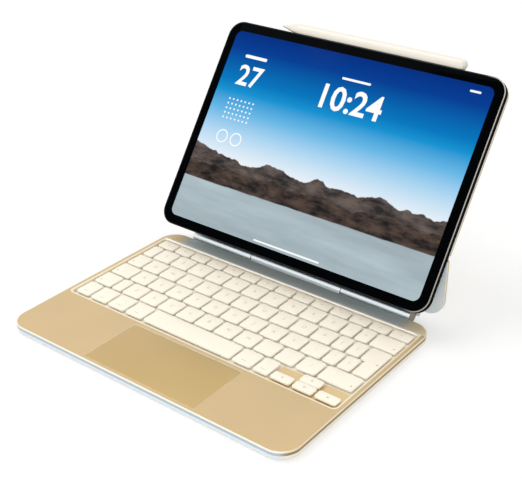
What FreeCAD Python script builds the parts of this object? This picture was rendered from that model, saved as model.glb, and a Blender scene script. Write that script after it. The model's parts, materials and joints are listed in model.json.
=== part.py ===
import FreeCAD, Part
import math
import os

# Tablet keyboard case standing open, with the tablet that it carries docked on its cover.
# A stylus lies on the tablet's top edge.
# Millimetres, +Z up. The origin is the middle of the base's underside, and the typist sits towards -Y.
# The cover has a lower panel on the hinge barrel and an upper panel that folds on the lower one.

# Keys: cell sizes of the layout, measured between the middles of the gaps
KEY_PITCH = 18.1
ROW_PITCH = 18.2
FUNCTION_ROW = 10.9
NARROW_KEY = 12.5
FIRST_NUMBER_KEY = 10.2
BACKSPACE_KEY = 22.2
TAB_KEY = 14.9
CAPS_KEY = 19.6
LEFT_SHIFT_KEY = 17.5
EXTRA_SHIFT_KEY = 10.9
FIRST_BOTTOM_KEY = 14.0
LAST_BOTTOM_KEY = 14.6
PLAIN_KEYS = 10
FUNCTION_KEYS = 14

# Keys: the caps, and what carries them
KEY_GAP = 2.0
HALF_KEY_GAP = 0.6
KEY_CORNER = 1.8
KEY_CORNER_FACETS = 2
KEY_HEIGHT = 1.5
KEY_DROP = 0.2
KEY_TRAVEL = 1.0
KEY_FLOOR_GAP = 0.3
CAP_SEAT_GAP = 0.1
DOME_WIDTH = 3.6
DOME_TOP_WIDTH = 2.0

# Key well in the deck
WELL_SIDE_GAP = 1.8
WELL_FRONT_GAP = 3.1
WELL_BACK_GAP = 2.3
WELL_CORNER = 3.5
WELL_CHAMFER = 0.5
TRAY_SHEET = 0.4
TRAY_WALL = 0.8
CIRCUIT_SHEET = 0.3
STIFFENER = 0.9

# Trackpad
PAD_WIDTH = 98.6
PAD_DEPTH = 50.3
PAD_CORNER = 2.5
PAD_THICKNESS = 1.2
PAD_DROP = 0.05
PAD_GAP = 0.25
PAD_MARGIN = 3.0
PAD_TO_WELL = 5.1
PAD_TRAVEL = 0.4
PAD_SPRING = 1.1
PAD_SPRING_WIDTH = 5.0
PAD_SPRING_INSET = 6.0
CLICK_SWITCH = 6.0

# Base
DECK_BORDER = 4.5
REAR_STRIP = 14.3
BASE_CORNER = 15.0
BASE_HEIGHT = 6.6
SHELL_RIM = 3.4
SHELL_FLOOR = 1.2
SHELL_WALL = 1.6
SHELL_EDGE = 1.0
SHELL_RIB = 1.6
SHELL_RIBS = 6
DECK_PLATE = 1.2
DECK_CHAMFER = 0.4
BOARD_WIDTH = 52.0
BOARD_DEPTH = 32.0
BOARD_THICKNESS = 0.8
BOARD_FROM_PAD = 8.0
CHIP_SIZE = 9.0
CHIP_HEIGHT = 1.0
RIBBON_WIDTH = 6.0
RIBBON_THICKNESS = 0.2

# Barrel hinge at the back of the base
BARREL_R = 5.9
BARREL_GAP = 0.6
BARREL_DESK_GAP = 0.6
BARREL_HALF = 104.0
CENTRE_HALF = 43.0
KNUCKLE_GAP = 0.4
PIN_R = 2.0
PIN_OVERHANG = 3.0
DRUM_END_GAP = 6.0
RUN_FIT = 0.05
TUBE_WALL = 0.9
END_PLUG = 12.0
PLUG_FIT = 0.05
TONGUE_DEPTH = 11.0
TONGUE_INSET = 1.0
TONGUE_GAP = 0.1
FOOT_HALF = 2.5
FOOT_SIDE = 1.0
PORT_WIDTH = 8.6
PORT_HEIGHT = 2.8
PORT_DEPTH = 7.0
PORT_BACK = 1.2
PORT_TONGUE_WIDTH = 5.6
PORT_TONGUE = 0.7
PORT_TONGUE_LENGTH = 4.6
PORT_FIT = 0.1
SLOT_ROUND = 0.49

# Cover panels
COVER_BESIDE_TABLET = 0.15
PANEL = 3.4
SKIN = 0.7
RIM = 1.4
CORE_FIT = 0.1
COVER_CORNER = 14.0
COVER_EDGE = 1.0
COVER_BEHIND_BARREL = 0.3
COVER_LOW_EDGE = 9.0
STRAP_BESIDE_BARREL = 1.5
STRAP_LOW_EDGE = 3.0
STRAP_FLARE = 3.0
FOLD_RISE = 51.1
FOLD_EDGE = 2.0
FOLD_R = 1.5
FOLD_PIN_R = 0.7
FOLD_UPPER_HALF = 62.0
FOLD_PART_GAP = 0.3
FOLD_END_INSET = 1.0
FOLD_TANG = 1.2
FOLD_TANG_REACH = 8.0
FOLD_TANG_FIT = 0.1
FOLD_TANG_INSET = 2.0
MAGNET_LENGTH = 22.0
MAGNET_WIDTH = 6.0
MAGNET_THICKNESS = 1.8
MAGNET_FIT = 0.15
MAGNET_COLUMNS = 4
MAGNET_FROM_SIDE = 50.0
MAGNET_ROW_LOW = 40.0
MAGNET_ROW_STEP = 60.0
MAGNET_ROWS = 2
CONTACT_RISE = 14.0
CONTACT_BLOCK_WIDTH = 22.0
CONTACT_BLOCK_HEIGHT = 8.0
CONTACT_RECESS = 0.6
CONTACT_R = 1.2
CONTACT_STEP = 6.5
CONTACT_PROUD = 0.06
CONTACT_FIT = 0.05
CONTACTS = 3

# Tablet
TABLET_WIDTH = 249.7
TABLET_HEIGHT = 177.5
TABLET_THICKNESS = 5.3
TABLET_CORNER = 12.5
TABLET_TILT = 34.6
TABLET_BELOW_FOLD = 44.8
TABLET_GAP = 0.1
COVER_OVER_TABLET = 0.3
TABLET_BACK = 0.8
TABLET_WALL = 1.6
GLASS = 0.7
GLASS_PROUD = 0.15
GLASS_LIP = 0.8
GLASS_FIT = 0.1
DISPLAY = 1.4
DISPLAY_MARGIN = 6.8
BATTERY = 2.0
BATTERY_WIDTH = 92.0
BATTERY_HEIGHT = 118.0
BATTERY_GAP = 4.0
BUTTON_LENGTH = 11.5
BUTTON_WIDTH = 2.2
BUTTON_DEPTH = 1.25
BUTTON_PROUD = 0.35
BUTTON_TRAVEL = 0.35
BUTTON_GAP = 0.15
POWER_FROM_TOP = 30.0
VOLUME_FROM_SIDE = 27.0
VOLUME_STEP = 13.5
CAMERA_SIZE = 30.0
CAMERA_CORNER = 8.0
CAMERA_RISE = 1.9
CAMERA_FROM_EDGE = 6.0
CAMERA_CLEAR = 1.0
LENS_R = 6.5
LENS_RISE = 0.7

# Stylus on the tablet's top edge
STYLUS_R = 4.45
STYLUS_FLAT = 0.35
STYLUS_SEAT = 0.05
STYLUS_TIP_END = -77.4
STYLUS_END = 88.3
STYLUS_END_ROUND = 3.6
STYLUS_END_FACETS = 2
CONE_LENGTH = 19.4
TIP_LENGTH = 3.0
TIP_R = 1.4
TIP_NOSE_R = 0.7

# Sizes worked out from the ones above
FIELD_WIDTH = FIRST_NUMBER_KEY + PLAIN_KEYS * KEY_PITCH + 2 * NARROW_KEY + BACKSPACE_KEY
FIELD_DEPTH = 5 * ROW_PITCH + FUNCTION_ROW
WELL_WIDTH = FIELD_WIDTH + 2 * WELL_SIDE_GAP
WELL_DEPTH = WELL_FRONT_GAP + FIELD_DEPTH + WELL_BACK_GAP
PALM_DEPTH = PAD_MARGIN + PAD_DEPTH + PAD_TO_WELL
BASE_WIDTH = WELL_WIDTH + 2 * DECK_BORDER
BASE_DEPTH = PALM_DEPTH + WELL_DEPTH + REAR_STRIP
BASE_FRONT = -BASE_DEPTH / 2
BASE_BACK = BASE_DEPTH / 2
WELL_FRONT = BASE_FRONT + PALM_DEPTH
WELL_BACK = WELL_FRONT + WELL_DEPTH
FIELD_FRONT = WELL_FRONT + WELL_FRONT_GAP
DECK_UNDER = BASE_HEIGHT - DECK_PLATE
KEY_TOP = BASE_HEIGHT - KEY_DROP
KEY_BOTTOM = KEY_TOP - KEY_HEIGHT
WELL_FLOOR = KEY_BOTTOM - KEY_TRAVEL - KEY_FLOOR_GAP
CIRCUIT_TOP = WELL_FLOOR - TRAY_SHEET
STIFFENER_TOP = CIRCUIT_TOP - CIRCUIT_SHEET
STIFFENER_UNDER = STIFFENER_TOP - STIFFENER
CAP_SEAT = KEY_BOTTOM - CAP_SEAT_GAP
PAD_TOP = BASE_HEIGHT - PAD_DROP
PAD_UNDER = PAD_TOP - PAD_THICKNESS
PAN_FLOOR = PAD_UNDER - PAD_SPRING
PAD_FRONT = BASE_FRONT + PAD_MARGIN
PAD_BACK = PAD_FRONT + PAD_DEPTH
AXIS_Y = BASE_BACK + BARREL_GAP + BARREL_R
AXIS_Z = BARREL_DESK_GAP + BARREL_R
BORE_R = PIN_R + RUN_FIT
TUBE_BORE_R = BARREL_R - TUBE_WALL
PIN_HALF = CENTRE_HALF + PIN_OVERHANG
DRUM_END = BARREL_HALF - END_PLUG - DRUM_END_GAP
STRAP_HALF = BARREL_HALF + STRAP_BESIDE_BARREL
TABLET_HALF = TABLET_WIDTH / 2
COVER_HALF = TABLET_HALF + COVER_BESIDE_TABLET
COVER_INNER = AXIS_Y + BARREL_R + COVER_BEHIND_BARREL
COVER_OUTER = COVER_INNER + PANEL
CORE_FRONT = COVER_INNER + SKIN
CORE_BACK = COVER_OUTER - SKIN
FOLD_Y = COVER_INNER + PANEL / 2
FOLD_Z = AXIS_Z + FOLD_RISE
FOLD_BORE_R = FOLD_PIN_R + RUN_FIT
TABLET_BACK_Y = COVER_INNER - TABLET_GAP
TABLET_FRONT_Y = TABLET_BACK_Y - TABLET_THICKNESS
TABLET_LOW = FOLD_Z - TABLET_BELOW_FOLD
TABLET_HIGH = TABLET_LOW + TABLET_HEIGHT
TABLET_MID_Y = (TABLET_FRONT_Y + TABLET_BACK_Y) / 2
COVER_HIGH = TABLET_HIGH + COVER_OVER_TABLET
GLASS_BACK = TABLET_FRONT_Y + GLASS
DISPLAY_BACK = GLASS_BACK + DISPLAY
TABLET_INSIDE_BACK = TABLET_BACK_Y - TABLET_BACK
CAMERA_X = -TABLET_HALF + CAMERA_FROM_EDGE + CAMERA_SIZE / 2
CAMERA_Z = TABLET_HIGH - CAMERA_FROM_EDGE - CAMERA_SIZE / 2
CONTACT_Z = FOLD_Z + CONTACT_RISE
STYLUS_Z = TABLET_HIGH + STYLUS_SEAT + STYLUS_R - STYLUS_FLAT

X_RIGHT = FreeCAD.Vector(1, 0, 0)
Y_BACK = FreeCAD.Vector(0, 1, 0)


# Plates and bars

def point(axis, along, u, v):
    """A point at a distance along an axis; u and v are the other two coordinates in X, Y, Z order."""
    if axis == "x":
        return FreeCAD.Vector(along, u, v)
    if axis == "y":
        return FreeCAD.Vector(u, along, v)
    return FreeCAD.Vector(u, v, along)


def rounded_wire(corners, radii, axis, along):
    """A closed outline through the corners, with each corner rounded by its own radius."""
    entries = []
    mids = []
    exits = []
    count = len(corners)
    for index in range(count):
        corner = point(axis, along, *corners[index])
        back = point(axis, along, *corners[index - 1]) - corner
        ahead = point(axis, along, *corners[(index + 1) % count]) - corner
        half_turn = back.getAngle(ahead) / 2
        radius = radii[index]
        back.normalize()
        ahead.normalize()
        reach = radius / math.tan(half_turn)
        inward = back + ahead
        inward.normalize()
        entries.append(corner + back * reach)
        exits.append(corner + ahead * reach)
        mids.append(corner + inward * (radius / math.sin(half_turn) - radius))
    edges = []
    for index in range(count):
        if radii[index] > 0:
            edges.append(Part.Arc(entries[index], mids[index], exits[index]).toShape())
        following = entries[(index + 1) % count]
        if exits[index].distanceToPoint(following) > 1e-6:
            edges.append(Part.LineSegment(exits[index], following).toShape())
    return Part.Wire(edges)


def plate(corners, radii, low, high, axis="z"):
    """A flat plate with rounded corners, from low to high along the axis."""
    face = Part.Face(rounded_wire(corners, radii, axis, low))
    return face.extrude(point(axis, high - low, 0, 0))


def rectangle(u_low, u_high, v_low, v_high):
    return [(u_low, v_low), (u_high, v_low), (u_high, v_high), (u_low, v_high)]


def rounded_plate(u_range, v_range, radius, low, high, axis="z"):
    """A rectangular plate with four equal corners."""
    return plate(rectangle(*u_range, *v_range), [radius] * 4, low, high, axis)


def block(x_range, y_range, z_range):
    corner = FreeCAD.Vector(x_range[0], y_range[0], z_range[0])
    return Part.makeBox(x_range[1] - x_range[0], y_range[1] - y_range[0], z_range[1] - z_range[0], corner)


def prism(points, low, high, axis):
    """A straight-sided prism on a closed polygon."""
    corners = [point(axis, low, *p) for p in points]
    face = Part.Face(Part.makePolygon(corners + corners[:1]))
    return face.extrude(point(axis, high - low, 0, 0))


def rod(radius, x_low, x_high, y, z):
    return Part.makeCylinder(radius, x_high - x_low, FreeCAD.Vector(x_low, y, z), X_RIGHT)


def button_disc(radius, x, z, y_low, y_high):
    return Part.makeCylinder(radius, y_high - y_low, FreeCAD.Vector(x, y_low, z), Y_BACK)


def edges_at(shape, axis, value):
    """The edges of a shape that lie wholly at one height along an axis."""
    found = []
    for edge in shape.Edges:
        if all(abs(getattr(vertex.Point, axis) - value) < 1e-6 for vertex in edge.Vertexes):
            found.append(edge)
    return found


def widened(spread, u_range):
    return (u_range[0] - spread, u_range[1] + spread)


def pan(x_range, y_range, corner, floor_low, floor_high, rim_high, wall):
    """An open pan: a floor under the given opening and a wall round it, up to rim_high."""
    outer = block(widened(wall, x_range), widened(wall, y_range), (floor_low, rim_high))
    return outer.cut(rounded_plate(x_range, y_range, corner, floor_high, rim_high))


def mirrored(shape):
    return shape.mirror(FreeCAD.Vector(0, 0, 0), X_RIGHT)


def leaned(shape):
    """Lean a piece that is built upright back with the tablet, about the fold's axis."""
    turned = shape.copy()
    turned.rotate(FreeCAD.Vector(0, FOLD_Y, FOLD_Z), X_RIGHT, -TABLET_TILT)
    return turned


def group(shapes):
    return Part.makeCompound(shapes)


# Key layout

def row_cells(cells):
    """Turn a row's (node, width) cells into (node, low, high); the one width that is None fills the row."""
    known = sum(width for node, width in cells if width is not None)
    left = -FIELD_WIDTH / 2
    placed = []
    for node, width in cells:
        right = left + (FIELD_WIDTH - known if width is None else width)
        placed.append((node, left, right))
        left = right
    return placed


def inset_cell(low, high, field_low, field_high):
    """The cap inside a cell: half a gap in at each side, except at the ends of the field."""
    cap_low = low if abs(low - field_low) < 1e-6 else low + KEY_GAP / 2
    cap_high = high if abs(high - field_high) < 1e-6 else high - KEY_GAP / 2
    return (cap_low, cap_high)


def key_rows():
    """The cells of the six rows, front to back, with the node that each cap belongs to."""
    bottom = [("modifier_keys", FIRST_BOTTOM_KEY)] + [("modifier_keys", KEY_PITCH)] * 3
    bottom += [("space_bar", None), ("modifier_keys", KEY_PITCH), ("modifier_keys", LAST_BOTTOM_KEY)]
    bottom += [("left_arrow_key", KEY_PITCH), ("up_arrow_key", KEY_PITCH), ("right_arrow_key", KEY_PITCH)]
    lower = [("left_shift_key", LEFT_SHIFT_KEY), ("lower_letter_keys", EXTRA_SHIFT_KEY)]
    lower += [("lower_letter_keys", KEY_PITCH)] * PLAIN_KEYS + [("right_shift_key", None)]
    home = [("caps_key", CAPS_KEY)] + [("home_letter_keys", KEY_PITCH)] * PLAIN_KEYS
    home += [("home_letter_keys", NARROW_KEY)] * 2 + [("return_key", None)]
    upper = [("tab_key", TAB_KEY)] + [("upper_letter_keys", KEY_PITCH)] * PLAIN_KEYS
    upper += [("upper_letter_keys", NARROW_KEY)] * 2 + [("return_key", None)]
    number = [("number_keys", FIRST_NUMBER_KEY)] + [("number_keys", KEY_PITCH)] * PLAIN_KEYS
    number += [("number_keys", NARROW_KEY)] * 2 + [("backspace_key", BACKSPACE_KEY)]
    function = [("function_keys", FIELD_WIDTH / FUNCTION_KEYS)] * FUNCTION_KEYS
    return [row_cells(row) for row in (bottom, lower, home, upper, number, function)]


def row_span(index):
    """The front and back edge of the caps in a row."""
    low = FIELD_FRONT + index * ROW_PITCH
    high = low + (FUNCTION_ROW if index == 5 else ROW_PITCH)
    return inset_cell(low, high, FIELD_FRONT, FIELD_FRONT + FIELD_DEPTH)


def faceted_corners(corners):
    """Round each corner of an outline with a few short facets on an arc of the key's corner radius."""
    points = []
    count = len(corners)
    for index in range(count):
        corner = FreeCAD.Vector(*corners[index], 0)
        back = FreeCAD.Vector(*corners[index - 1], 0) - corner
        ahead = FreeCAD.Vector(*corners[(index + 1) % count], 0) - corner
        back.normalize()
        ahead.normalize()
        centre = corner + (back + ahead) * KEY_CORNER
        for step in range(KEY_CORNER_FACETS + 1):
            angle = math.pi / 2 * step / KEY_CORNER_FACETS
            on_arc = centre - (ahead * math.cos(angle) + back * math.sin(angle)) * KEY_CORNER
            points.append((on_arc.x, on_arc.y))
    return points


def build_keys():
    """All the caps by node, and the places under their middles where the domes stand."""
    caps = {}
    middles = []

    def add(node, corners, x_range, y_range):
        cap = prism(faceted_corners(corners), KEY_BOTTOM, KEY_TOP, "z")
        caps.setdefault(node, []).append(cap)
        middles.append((sum(x_range) / 2, sum(y_range) / 2))

    rows = key_rows()
    half_row = (row_span(0)[0] + row_span(0)[1]) / 2
    for index, row in enumerate(rows):
        span = row_span(index)
        for node, low, high in row:
            x_range = inset_cell(low, high, -FIELD_WIDTH / 2, FIELD_WIDTH / 2)
            if node == "return_key":
                continue
            if node in ("left_arrow_key", "right_arrow_key"):
                half_span = (span[0], half_row - HALF_KEY_GAP / 2)
                add(node, rectangle(*x_range, *half_span), x_range, half_span)
            elif node == "up_arrow_key":
                low_span = (span[0], half_row - HALF_KEY_GAP / 2)
                high_span = (half_row + HALF_KEY_GAP / 2, span[1])
                add("down_arrow_key", rectangle(*x_range, *low_span), x_range, low_span)
                add("up_arrow_key", rectangle(*x_range, *high_span), x_range, high_span)
            else:
                add(node, rectangle(*x_range, *span), x_range, span)
    add("return_key", *return_outline(rows))
    return caps, middles


def return_outline(rows):
    """The return key is one L over two rows: its upper arm starts further left than its lower one."""
    lower = [cell for cell in rows[2] if cell[0] == "return_key"][0]
    upper = [cell for cell in rows[3] if cell[0] == "return_key"][0]
    lower_x = inset_cell(lower[1], lower[2], -FIELD_WIDTH / 2, FIELD_WIDTH / 2)
    upper_x = inset_cell(upper[1], upper[2], -FIELD_WIDTH / 2, FIELD_WIDTH / 2)
    front = row_span(2)[0]
    step = row_span(3)[0]
    back = row_span(3)[1]
    corners = [(lower_x[0], front), (lower_x[1], front), (upper_x[1], back), (upper_x[0], back)]
    corners += [(upper_x[0], step), (lower_x[0], step)]
    return corners, lower_x, (front, back)


def build_domes(middles):
    """One silicone dome, a square frustum, under the middle of each cap."""
    foot = DOME_WIDTH / 2
    top = DOME_TOP_WIDTH / 2
    rise = CAP_SEAT - WELL_FLOOR
    dome = Part.makeWedge(-foot, 0, -foot, -top, -top, foot, rise, foot, top, top)
    dome.rotate(FreeCAD.Vector(0, 0, 0), X_RIGHT, 90)
    domes = []
    for x, y in middles:
        domes.append(dome.translated(FreeCAD.Vector(x, y, WELL_FLOOR)))
    return domes


# Base

def build_bottom_shell():
    """The underside: a tray with a chamfered lower edge, ribs under the keys and a notch for the hinge."""
    x_range = (-BASE_WIDTH / 2, BASE_WIDTH / 2)
    y_range = (BASE_FRONT, BASE_BACK)
    shell = rounded_plate(x_range, y_range, BASE_CORNER, 0, SHELL_RIM)
    shell = shell.makeChamfer(SHELL_EDGE, edges_at(shell, "z", 0))
    inside_x = widened(-SHELL_WALL, x_range)
    inside_y = widened(-SHELL_WALL, y_range)
    shell = shell.cut(rounded_plate(inside_x, inside_y, BASE_CORNER - SHELL_WALL, SHELL_FLOOR, SHELL_RIM))
    step = WELL_WIDTH / SHELL_RIBS
    for index in range(SHELL_RIBS):
        x = -WELL_WIDTH / 2 + (index + 0.5) * step
        rib_x = (x - SHELL_RIB / 2, x + SHELL_RIB / 2)
        shell = shell.fuse(block(rib_x, (WELL_FRONT, WELL_BACK), (SHELL_FLOOR, STIFFENER_UNDER)))
    notch_x = widened(TONGUE_GAP, tongue_x())
    shell = shell.cut(block(notch_x, (BASE_BACK - SHELL_WALL, BASE_BACK), (SHELL_FLOOR, SHELL_RIM)))
    return shell.removeSplitter()


def build_deck_plate():
    """The metal top: a plate with a short skirt, open over the keys and the pad, with chamfered edges."""
    x_range = (-BASE_WIDTH / 2, BASE_WIDTH / 2)
    y_range = (BASE_FRONT, BASE_BACK)
    deck = rounded_plate(x_range, y_range, BASE_CORNER, SHELL_RIM, BASE_HEIGHT)
    deck = deck.makeChamfer(DECK_CHAMFER, edges_at(deck, "z", BASE_HEIGHT))
    inside_x = widened(-SHELL_WALL, x_range)
    inside_y = widened(-SHELL_WALL, y_range)
    deck = deck.cut(rounded_plate(inside_x, inside_y, BASE_CORNER - SHELL_WALL, SHELL_RIM, DECK_UNDER))
    well_x, well_y = well_opening()
    deck = deck.cut(rounded_plate(well_x, well_y, WELL_CORNER, DECK_UNDER, BASE_HEIGHT))
    flare_low = BASE_HEIGHT - WELL_CHAMFER
    flare_x = widened(WELL_CHAMFER, well_x)
    flare_y = widened(WELL_CHAMFER, well_y)
    flare = rounded_plate(flare_x, flare_y, WELL_CORNER + WELL_CHAMFER, flare_low, BASE_HEIGHT + WELL_CHAMFER)
    flare = flare.makeChamfer(WELL_CHAMFER, edges_at(flare, "z", flare_low))
    deck = deck.cut(flare)
    return deck.cut(rounded_plate(*pad_opening(), PAD_CORNER + PAD_GAP, DECK_UNDER, BASE_HEIGHT))


def well_opening():
    return (-WELL_WIDTH / 2, WELL_WIDTH / 2), (WELL_FRONT, WELL_BACK)


def pad_opening():
    return widened(PAD_GAP, (-PAD_WIDTH / 2, PAD_WIDTH / 2)), widened(PAD_GAP, (PAD_FRONT, PAD_BACK))


def build_trackpad():
    plate_x = (-PAD_WIDTH / 2, PAD_WIDTH / 2)
    return rounded_plate(plate_x, (PAD_FRONT, PAD_BACK), PAD_CORNER, PAD_UNDER, PAD_TOP)


def build_trackpad_pan():
    """The pan under the trackpad, hung from the deck round the opening."""
    pad_x, pad_y = pad_opening()
    floor_low = PAN_FLOOR - TRAY_SHEET
    return pan(pad_x, pad_y, 0, floor_low, PAN_FLOOR, DECK_UNDER, TRAY_WALL)


def build_pad_springs():
    """Four silicone blocks that carry the trackpad at its corners and give when it is clicked."""
    blocks = []
    x = PAD_WIDTH / 2 - PAD_SPRING_INSET
    half = PAD_SPRING_WIDTH / 2
    for side in (-1, 1):
        for y in (PAD_FRONT + PAD_SPRING_INSET, PAD_BACK - PAD_SPRING_INSET):
            spring_x = (side * x - half, side * x + half)
            blocks.append(block(spring_x, (y - half, y + half), (PAN_FLOOR, PAD_UNDER - CAP_SEAT_GAP)))
    return blocks


def build_click_switch():
    half = CLICK_SWITCH / 2
    y = (PAD_FRONT + PAD_BACK) / 2
    return block((-half, half), (y - half, y + half), (PAN_FLOOR, PAD_UNDER - PAD_TRAVEL - CAP_SEAT_GAP))


def board_place():
    """The control board lies on the shell's floor, to the right of the trackpad."""
    left = PAD_WIDTH / 2 + BOARD_FROM_PAD
    front = PAD_FRONT + BOARD_FROM_PAD
    return (left, left + BOARD_WIDTH), (front, front + BOARD_DEPTH)


def build_logic_board():
    x_range, y_range = board_place()
    top = SHELL_FLOOR + BOARD_THICKNESS
    board = block(x_range, y_range, (SHELL_FLOOR, top))
    middle_y = sum(y_range) / 2
    for x in (x_range[0] + CHIP_SIZE, sum(x_range) / 2 + CHIP_SIZE / 2):
        chip_y = (middle_y - CHIP_SIZE / 2, middle_y + CHIP_SIZE / 2)
        board = board.fuse(block((x, x + CHIP_SIZE), chip_y, (top, top + CHIP_HEIGHT)))
    return board.removeSplitter()


def build_ribbon_cable():
    """A flat cable on the shell's floor, from the control board back to the hinge, between two ribs."""
    board_x, board_y = board_place()
    x = WELL_WIDTH / 2 - WELL_WIDTH / SHELL_RIBS
    half = RIBBON_WIDTH / 2
    run = (board_y[1], BASE_BACK - SHELL_WALL - TONGUE_DEPTH)
    return block((x - half, x + half), run, (SHELL_FLOOR, SHELL_FLOOR + RIBBON_THICKNESS))


# Barrel hinge

def tongue_x():
    return (-CENTRE_HALF + TONGUE_INSET, CENTRE_HALF - TONGUE_INSET)


def build_centre_knuckle():
    """The middle of the barrel, with a web to the base and a tongue that lies on the shell's floor."""
    tube = rod(BARREL_R, -CENTRE_HALF, CENTRE_HALF, AXIS_Y, AXIS_Z)
    web = block((-CENTRE_HALF, CENTRE_HALF), (BASE_BACK, AXIS_Y), (SHELL_FLOOR, BASE_HEIGHT))
    tongue_y = (BASE_BACK - SHELL_WALL - TONGUE_DEPTH, BASE_BACK)
    tongue = block(tongue_x(), tongue_y, (SHELL_FLOOR, SHELL_RIM - TONGUE_GAP))
    knuckle = tube.fuse([web, tongue]).removeSplitter()
    return knuckle.cut(rod(BORE_R, -CENTRE_HALF, CENTRE_HALF, AXIS_Y, AXIS_Z))


def build_right_knuckle():
    """An outer length of the barrel, with a flat foot on the cover and a bore for its drum and plug."""
    start = CENTRE_HALF + KNUCKLE_GAP
    tube = rod(BARREL_R, start, BARREL_HALF, AXIS_Y, AXIS_Z)
    foot_x = (start + FOOT_SIDE, BARREL_HALF - FOOT_SIDE)
    foot = block(foot_x, (AXIS_Y, COVER_INNER), (AXIS_Z - FOOT_HALF, AXIS_Z + FOOT_HALF))
    knuckle = tube.fuse(foot).removeSplitter()
    return knuckle.cut(rod(TUBE_BORE_R, start, BARREL_HALF, AXIS_Y, AXIS_Z))


def build_hinge_pin():
    return rod(PIN_R, -PIN_HALF, PIN_HALF, AXIS_Y, AXIS_Z)


def build_friction_drums():
    """Two drums on the pin's ends that run tight in the outer knuckles and hold the cover in place."""
    drum = rod(TUBE_BORE_R - RUN_FIT, PIN_HALF, DRUM_END, AXIS_Y, AXIS_Z)
    return [mirrored(drum), drum]


def port_slot(width, height, low, high):
    """A slot with round ends, seen along the barrel."""
    y_range = (AXIS_Y - width / 2, AXIS_Y + width / 2)
    z_range = (AXIS_Z - height / 2, AXIS_Z + height / 2)
    corners = rectangle(*y_range, *z_range)
    return plate(corners, [SLOT_ROUND * height] * 4, low, high, "x")


def build_end_caps():
    """Plugs that close the barrel's ends; the left one holds the charging socket."""
    radius = TUBE_BORE_R - PLUG_FIT
    right = rod(radius, BARREL_HALF - END_PLUG, BARREL_HALF, AXIS_Y, AXIS_Z)
    left = mirrored(right).cut(port_slot(PORT_WIDTH, PORT_HEIGHT, -BARREL_HALF, -BARREL_HALF + PORT_DEPTH))
    return [left, right]


def build_charge_port():
    """The charging socket's insert: a base in the slot, and the tongue that a plug goes round."""
    back = -BARREL_HALF + PORT_DEPTH
    y_range = (AXIS_Y - PORT_TONGUE_WIDTH / 2, AXIS_Y + PORT_TONGUE_WIDTH / 2)
    base_half = PORT_HEIGHT / 2 - PORT_FIT
    base = block((back - PORT_BACK, back), y_range, (AXIS_Z - base_half, AXIS_Z + base_half))
    tongue_z = (AXIS_Z - PORT_TONGUE / 2, AXIS_Z + PORT_TONGUE / 2)
    tongue = block((back - PORT_BACK - PORT_TONGUE_LENGTH, back - PORT_BACK), y_range, tongue_z)
    return base.fuse(tongue).removeSplitter()


# Lower panel of the cover

def lower_outline(inset, top):
    """The lower panel's outline: rounded bottom corners, and a strap that runs down behind the barrel."""
    side = COVER_HALF - inset
    strap = STRAP_HALF - inset
    low = COVER_LOW_EDGE + inset
    strap_low = STRAP_LOW_EDGE + inset
    corners = [(-side, low), (-strap, low), (-strap, strap_low)]
    corners += [(strap, strap_low), (strap, low), (side, low), (side, top), (-side, top)]
    flare = STRAP_FLARE + inset
    outer = min(COVER_CORNER - inset, side - strap - flare)
    return corners, [outer, flare, 0, 0, flare, outer, 0, 0]


def upper_outline(inset, bottom):
    """The upper panel's outline: rounded top corners, straight along the fold."""
    side = COVER_HALF - inset
    top = COVER_HIGH - inset
    corners = [(-side, bottom), (side, bottom), (side, top), (-side, top)]
    return corners, [0, 0, COVER_CORNER - inset, COVER_CORNER - inset]


def skins_and_core(outline, fold_edge):
    """A panel's inner skin, its outer skin with a rim, and the stiff core between them."""
    inner = plate(*outline(0, fold_edge), COVER_INNER, CORE_FRONT, "y")
    outer = plate(*outline(0, fold_edge), CORE_FRONT, COVER_OUTER, "y")
    free = [e for e in edges_at(outer, "y", COVER_OUTER) if not lies_at(e, fold_edge)]
    outer = outer.makeChamfer(COVER_EDGE, free)
    outer = outer.cut(plate(*outline(RIM, fold_edge), CORE_FRONT, CORE_BACK, "y"))
    core = plate(*outline(RIM + CORE_FIT, fold_edge), CORE_FRONT, CORE_BACK, "y")
    return inner, outer, core


def lies_at(edge, height):
    return all(abs(vertex.Point.z - height) < 1e-6 for vertex in edge.Vertexes)


def fold_parts(kind):
    """The stretches of the fold's axis that one panel's knuckles take up: the lower ones outside."""
    end = COVER_HALF - FOLD_END_INSET
    inner = FOLD_UPPER_HALF + FOLD_PART_GAP
    if kind == "lower":
        return [(-end, -inner), (inner, end)]
    return [(-FOLD_UPPER_HALF, FOLD_UPPER_HALF)]


def tang_block(x_range, direction, spread=0.0):
    """The flat tang of a fold knuckle, which goes in between the skins."""
    ends = sorted((FOLD_Z, FOLD_Z + direction * (FOLD_TANG_REACH + spread)))
    y_range = (FOLD_Y - FOLD_TANG / 2, FOLD_Y + FOLD_TANG / 2)
    if spread:
        y_range = (CORE_FRONT, CORE_BACK)
    return block(widened(spread - FOLD_TANG_INSET, x_range), y_range, ends)


def fold_knuckles(kind, direction):
    knuckles = []
    for x_range in fold_parts(kind):
        tube = rod(FOLD_R, *x_range, FOLD_Y, FOLD_Z)
        knuckle = tube.fuse(tang_block(x_range, direction)).removeSplitter()
        knuckles.append(knuckle.cut(rod(FOLD_BORE_R, *x_range, FOLD_Y, FOLD_Z)))
    return knuckles


def notched_core(core, kind, direction):
    for x_range in fold_parts(kind):
        core = core.cut(tang_block(x_range, direction, FOLD_TANG_FIT))
    return core


def build_fold_pin():
    end = COVER_HALF - FOLD_END_INSET
    return rod(FOLD_PIN_R, -end, end, FOLD_Y, FOLD_Z)


# Upper panel of the cover, built upright and then leaned back

def camera_window(spread, low, high):
    half = CAMERA_SIZE / 2 + spread
    x_range = (CAMERA_X - half, CAMERA_X + half)
    z_range = (CAMERA_Z - half, CAMERA_Z + half)
    return rounded_plate(x_range, z_range, CAMERA_CORNER + spread, low, high, "y")


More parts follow.
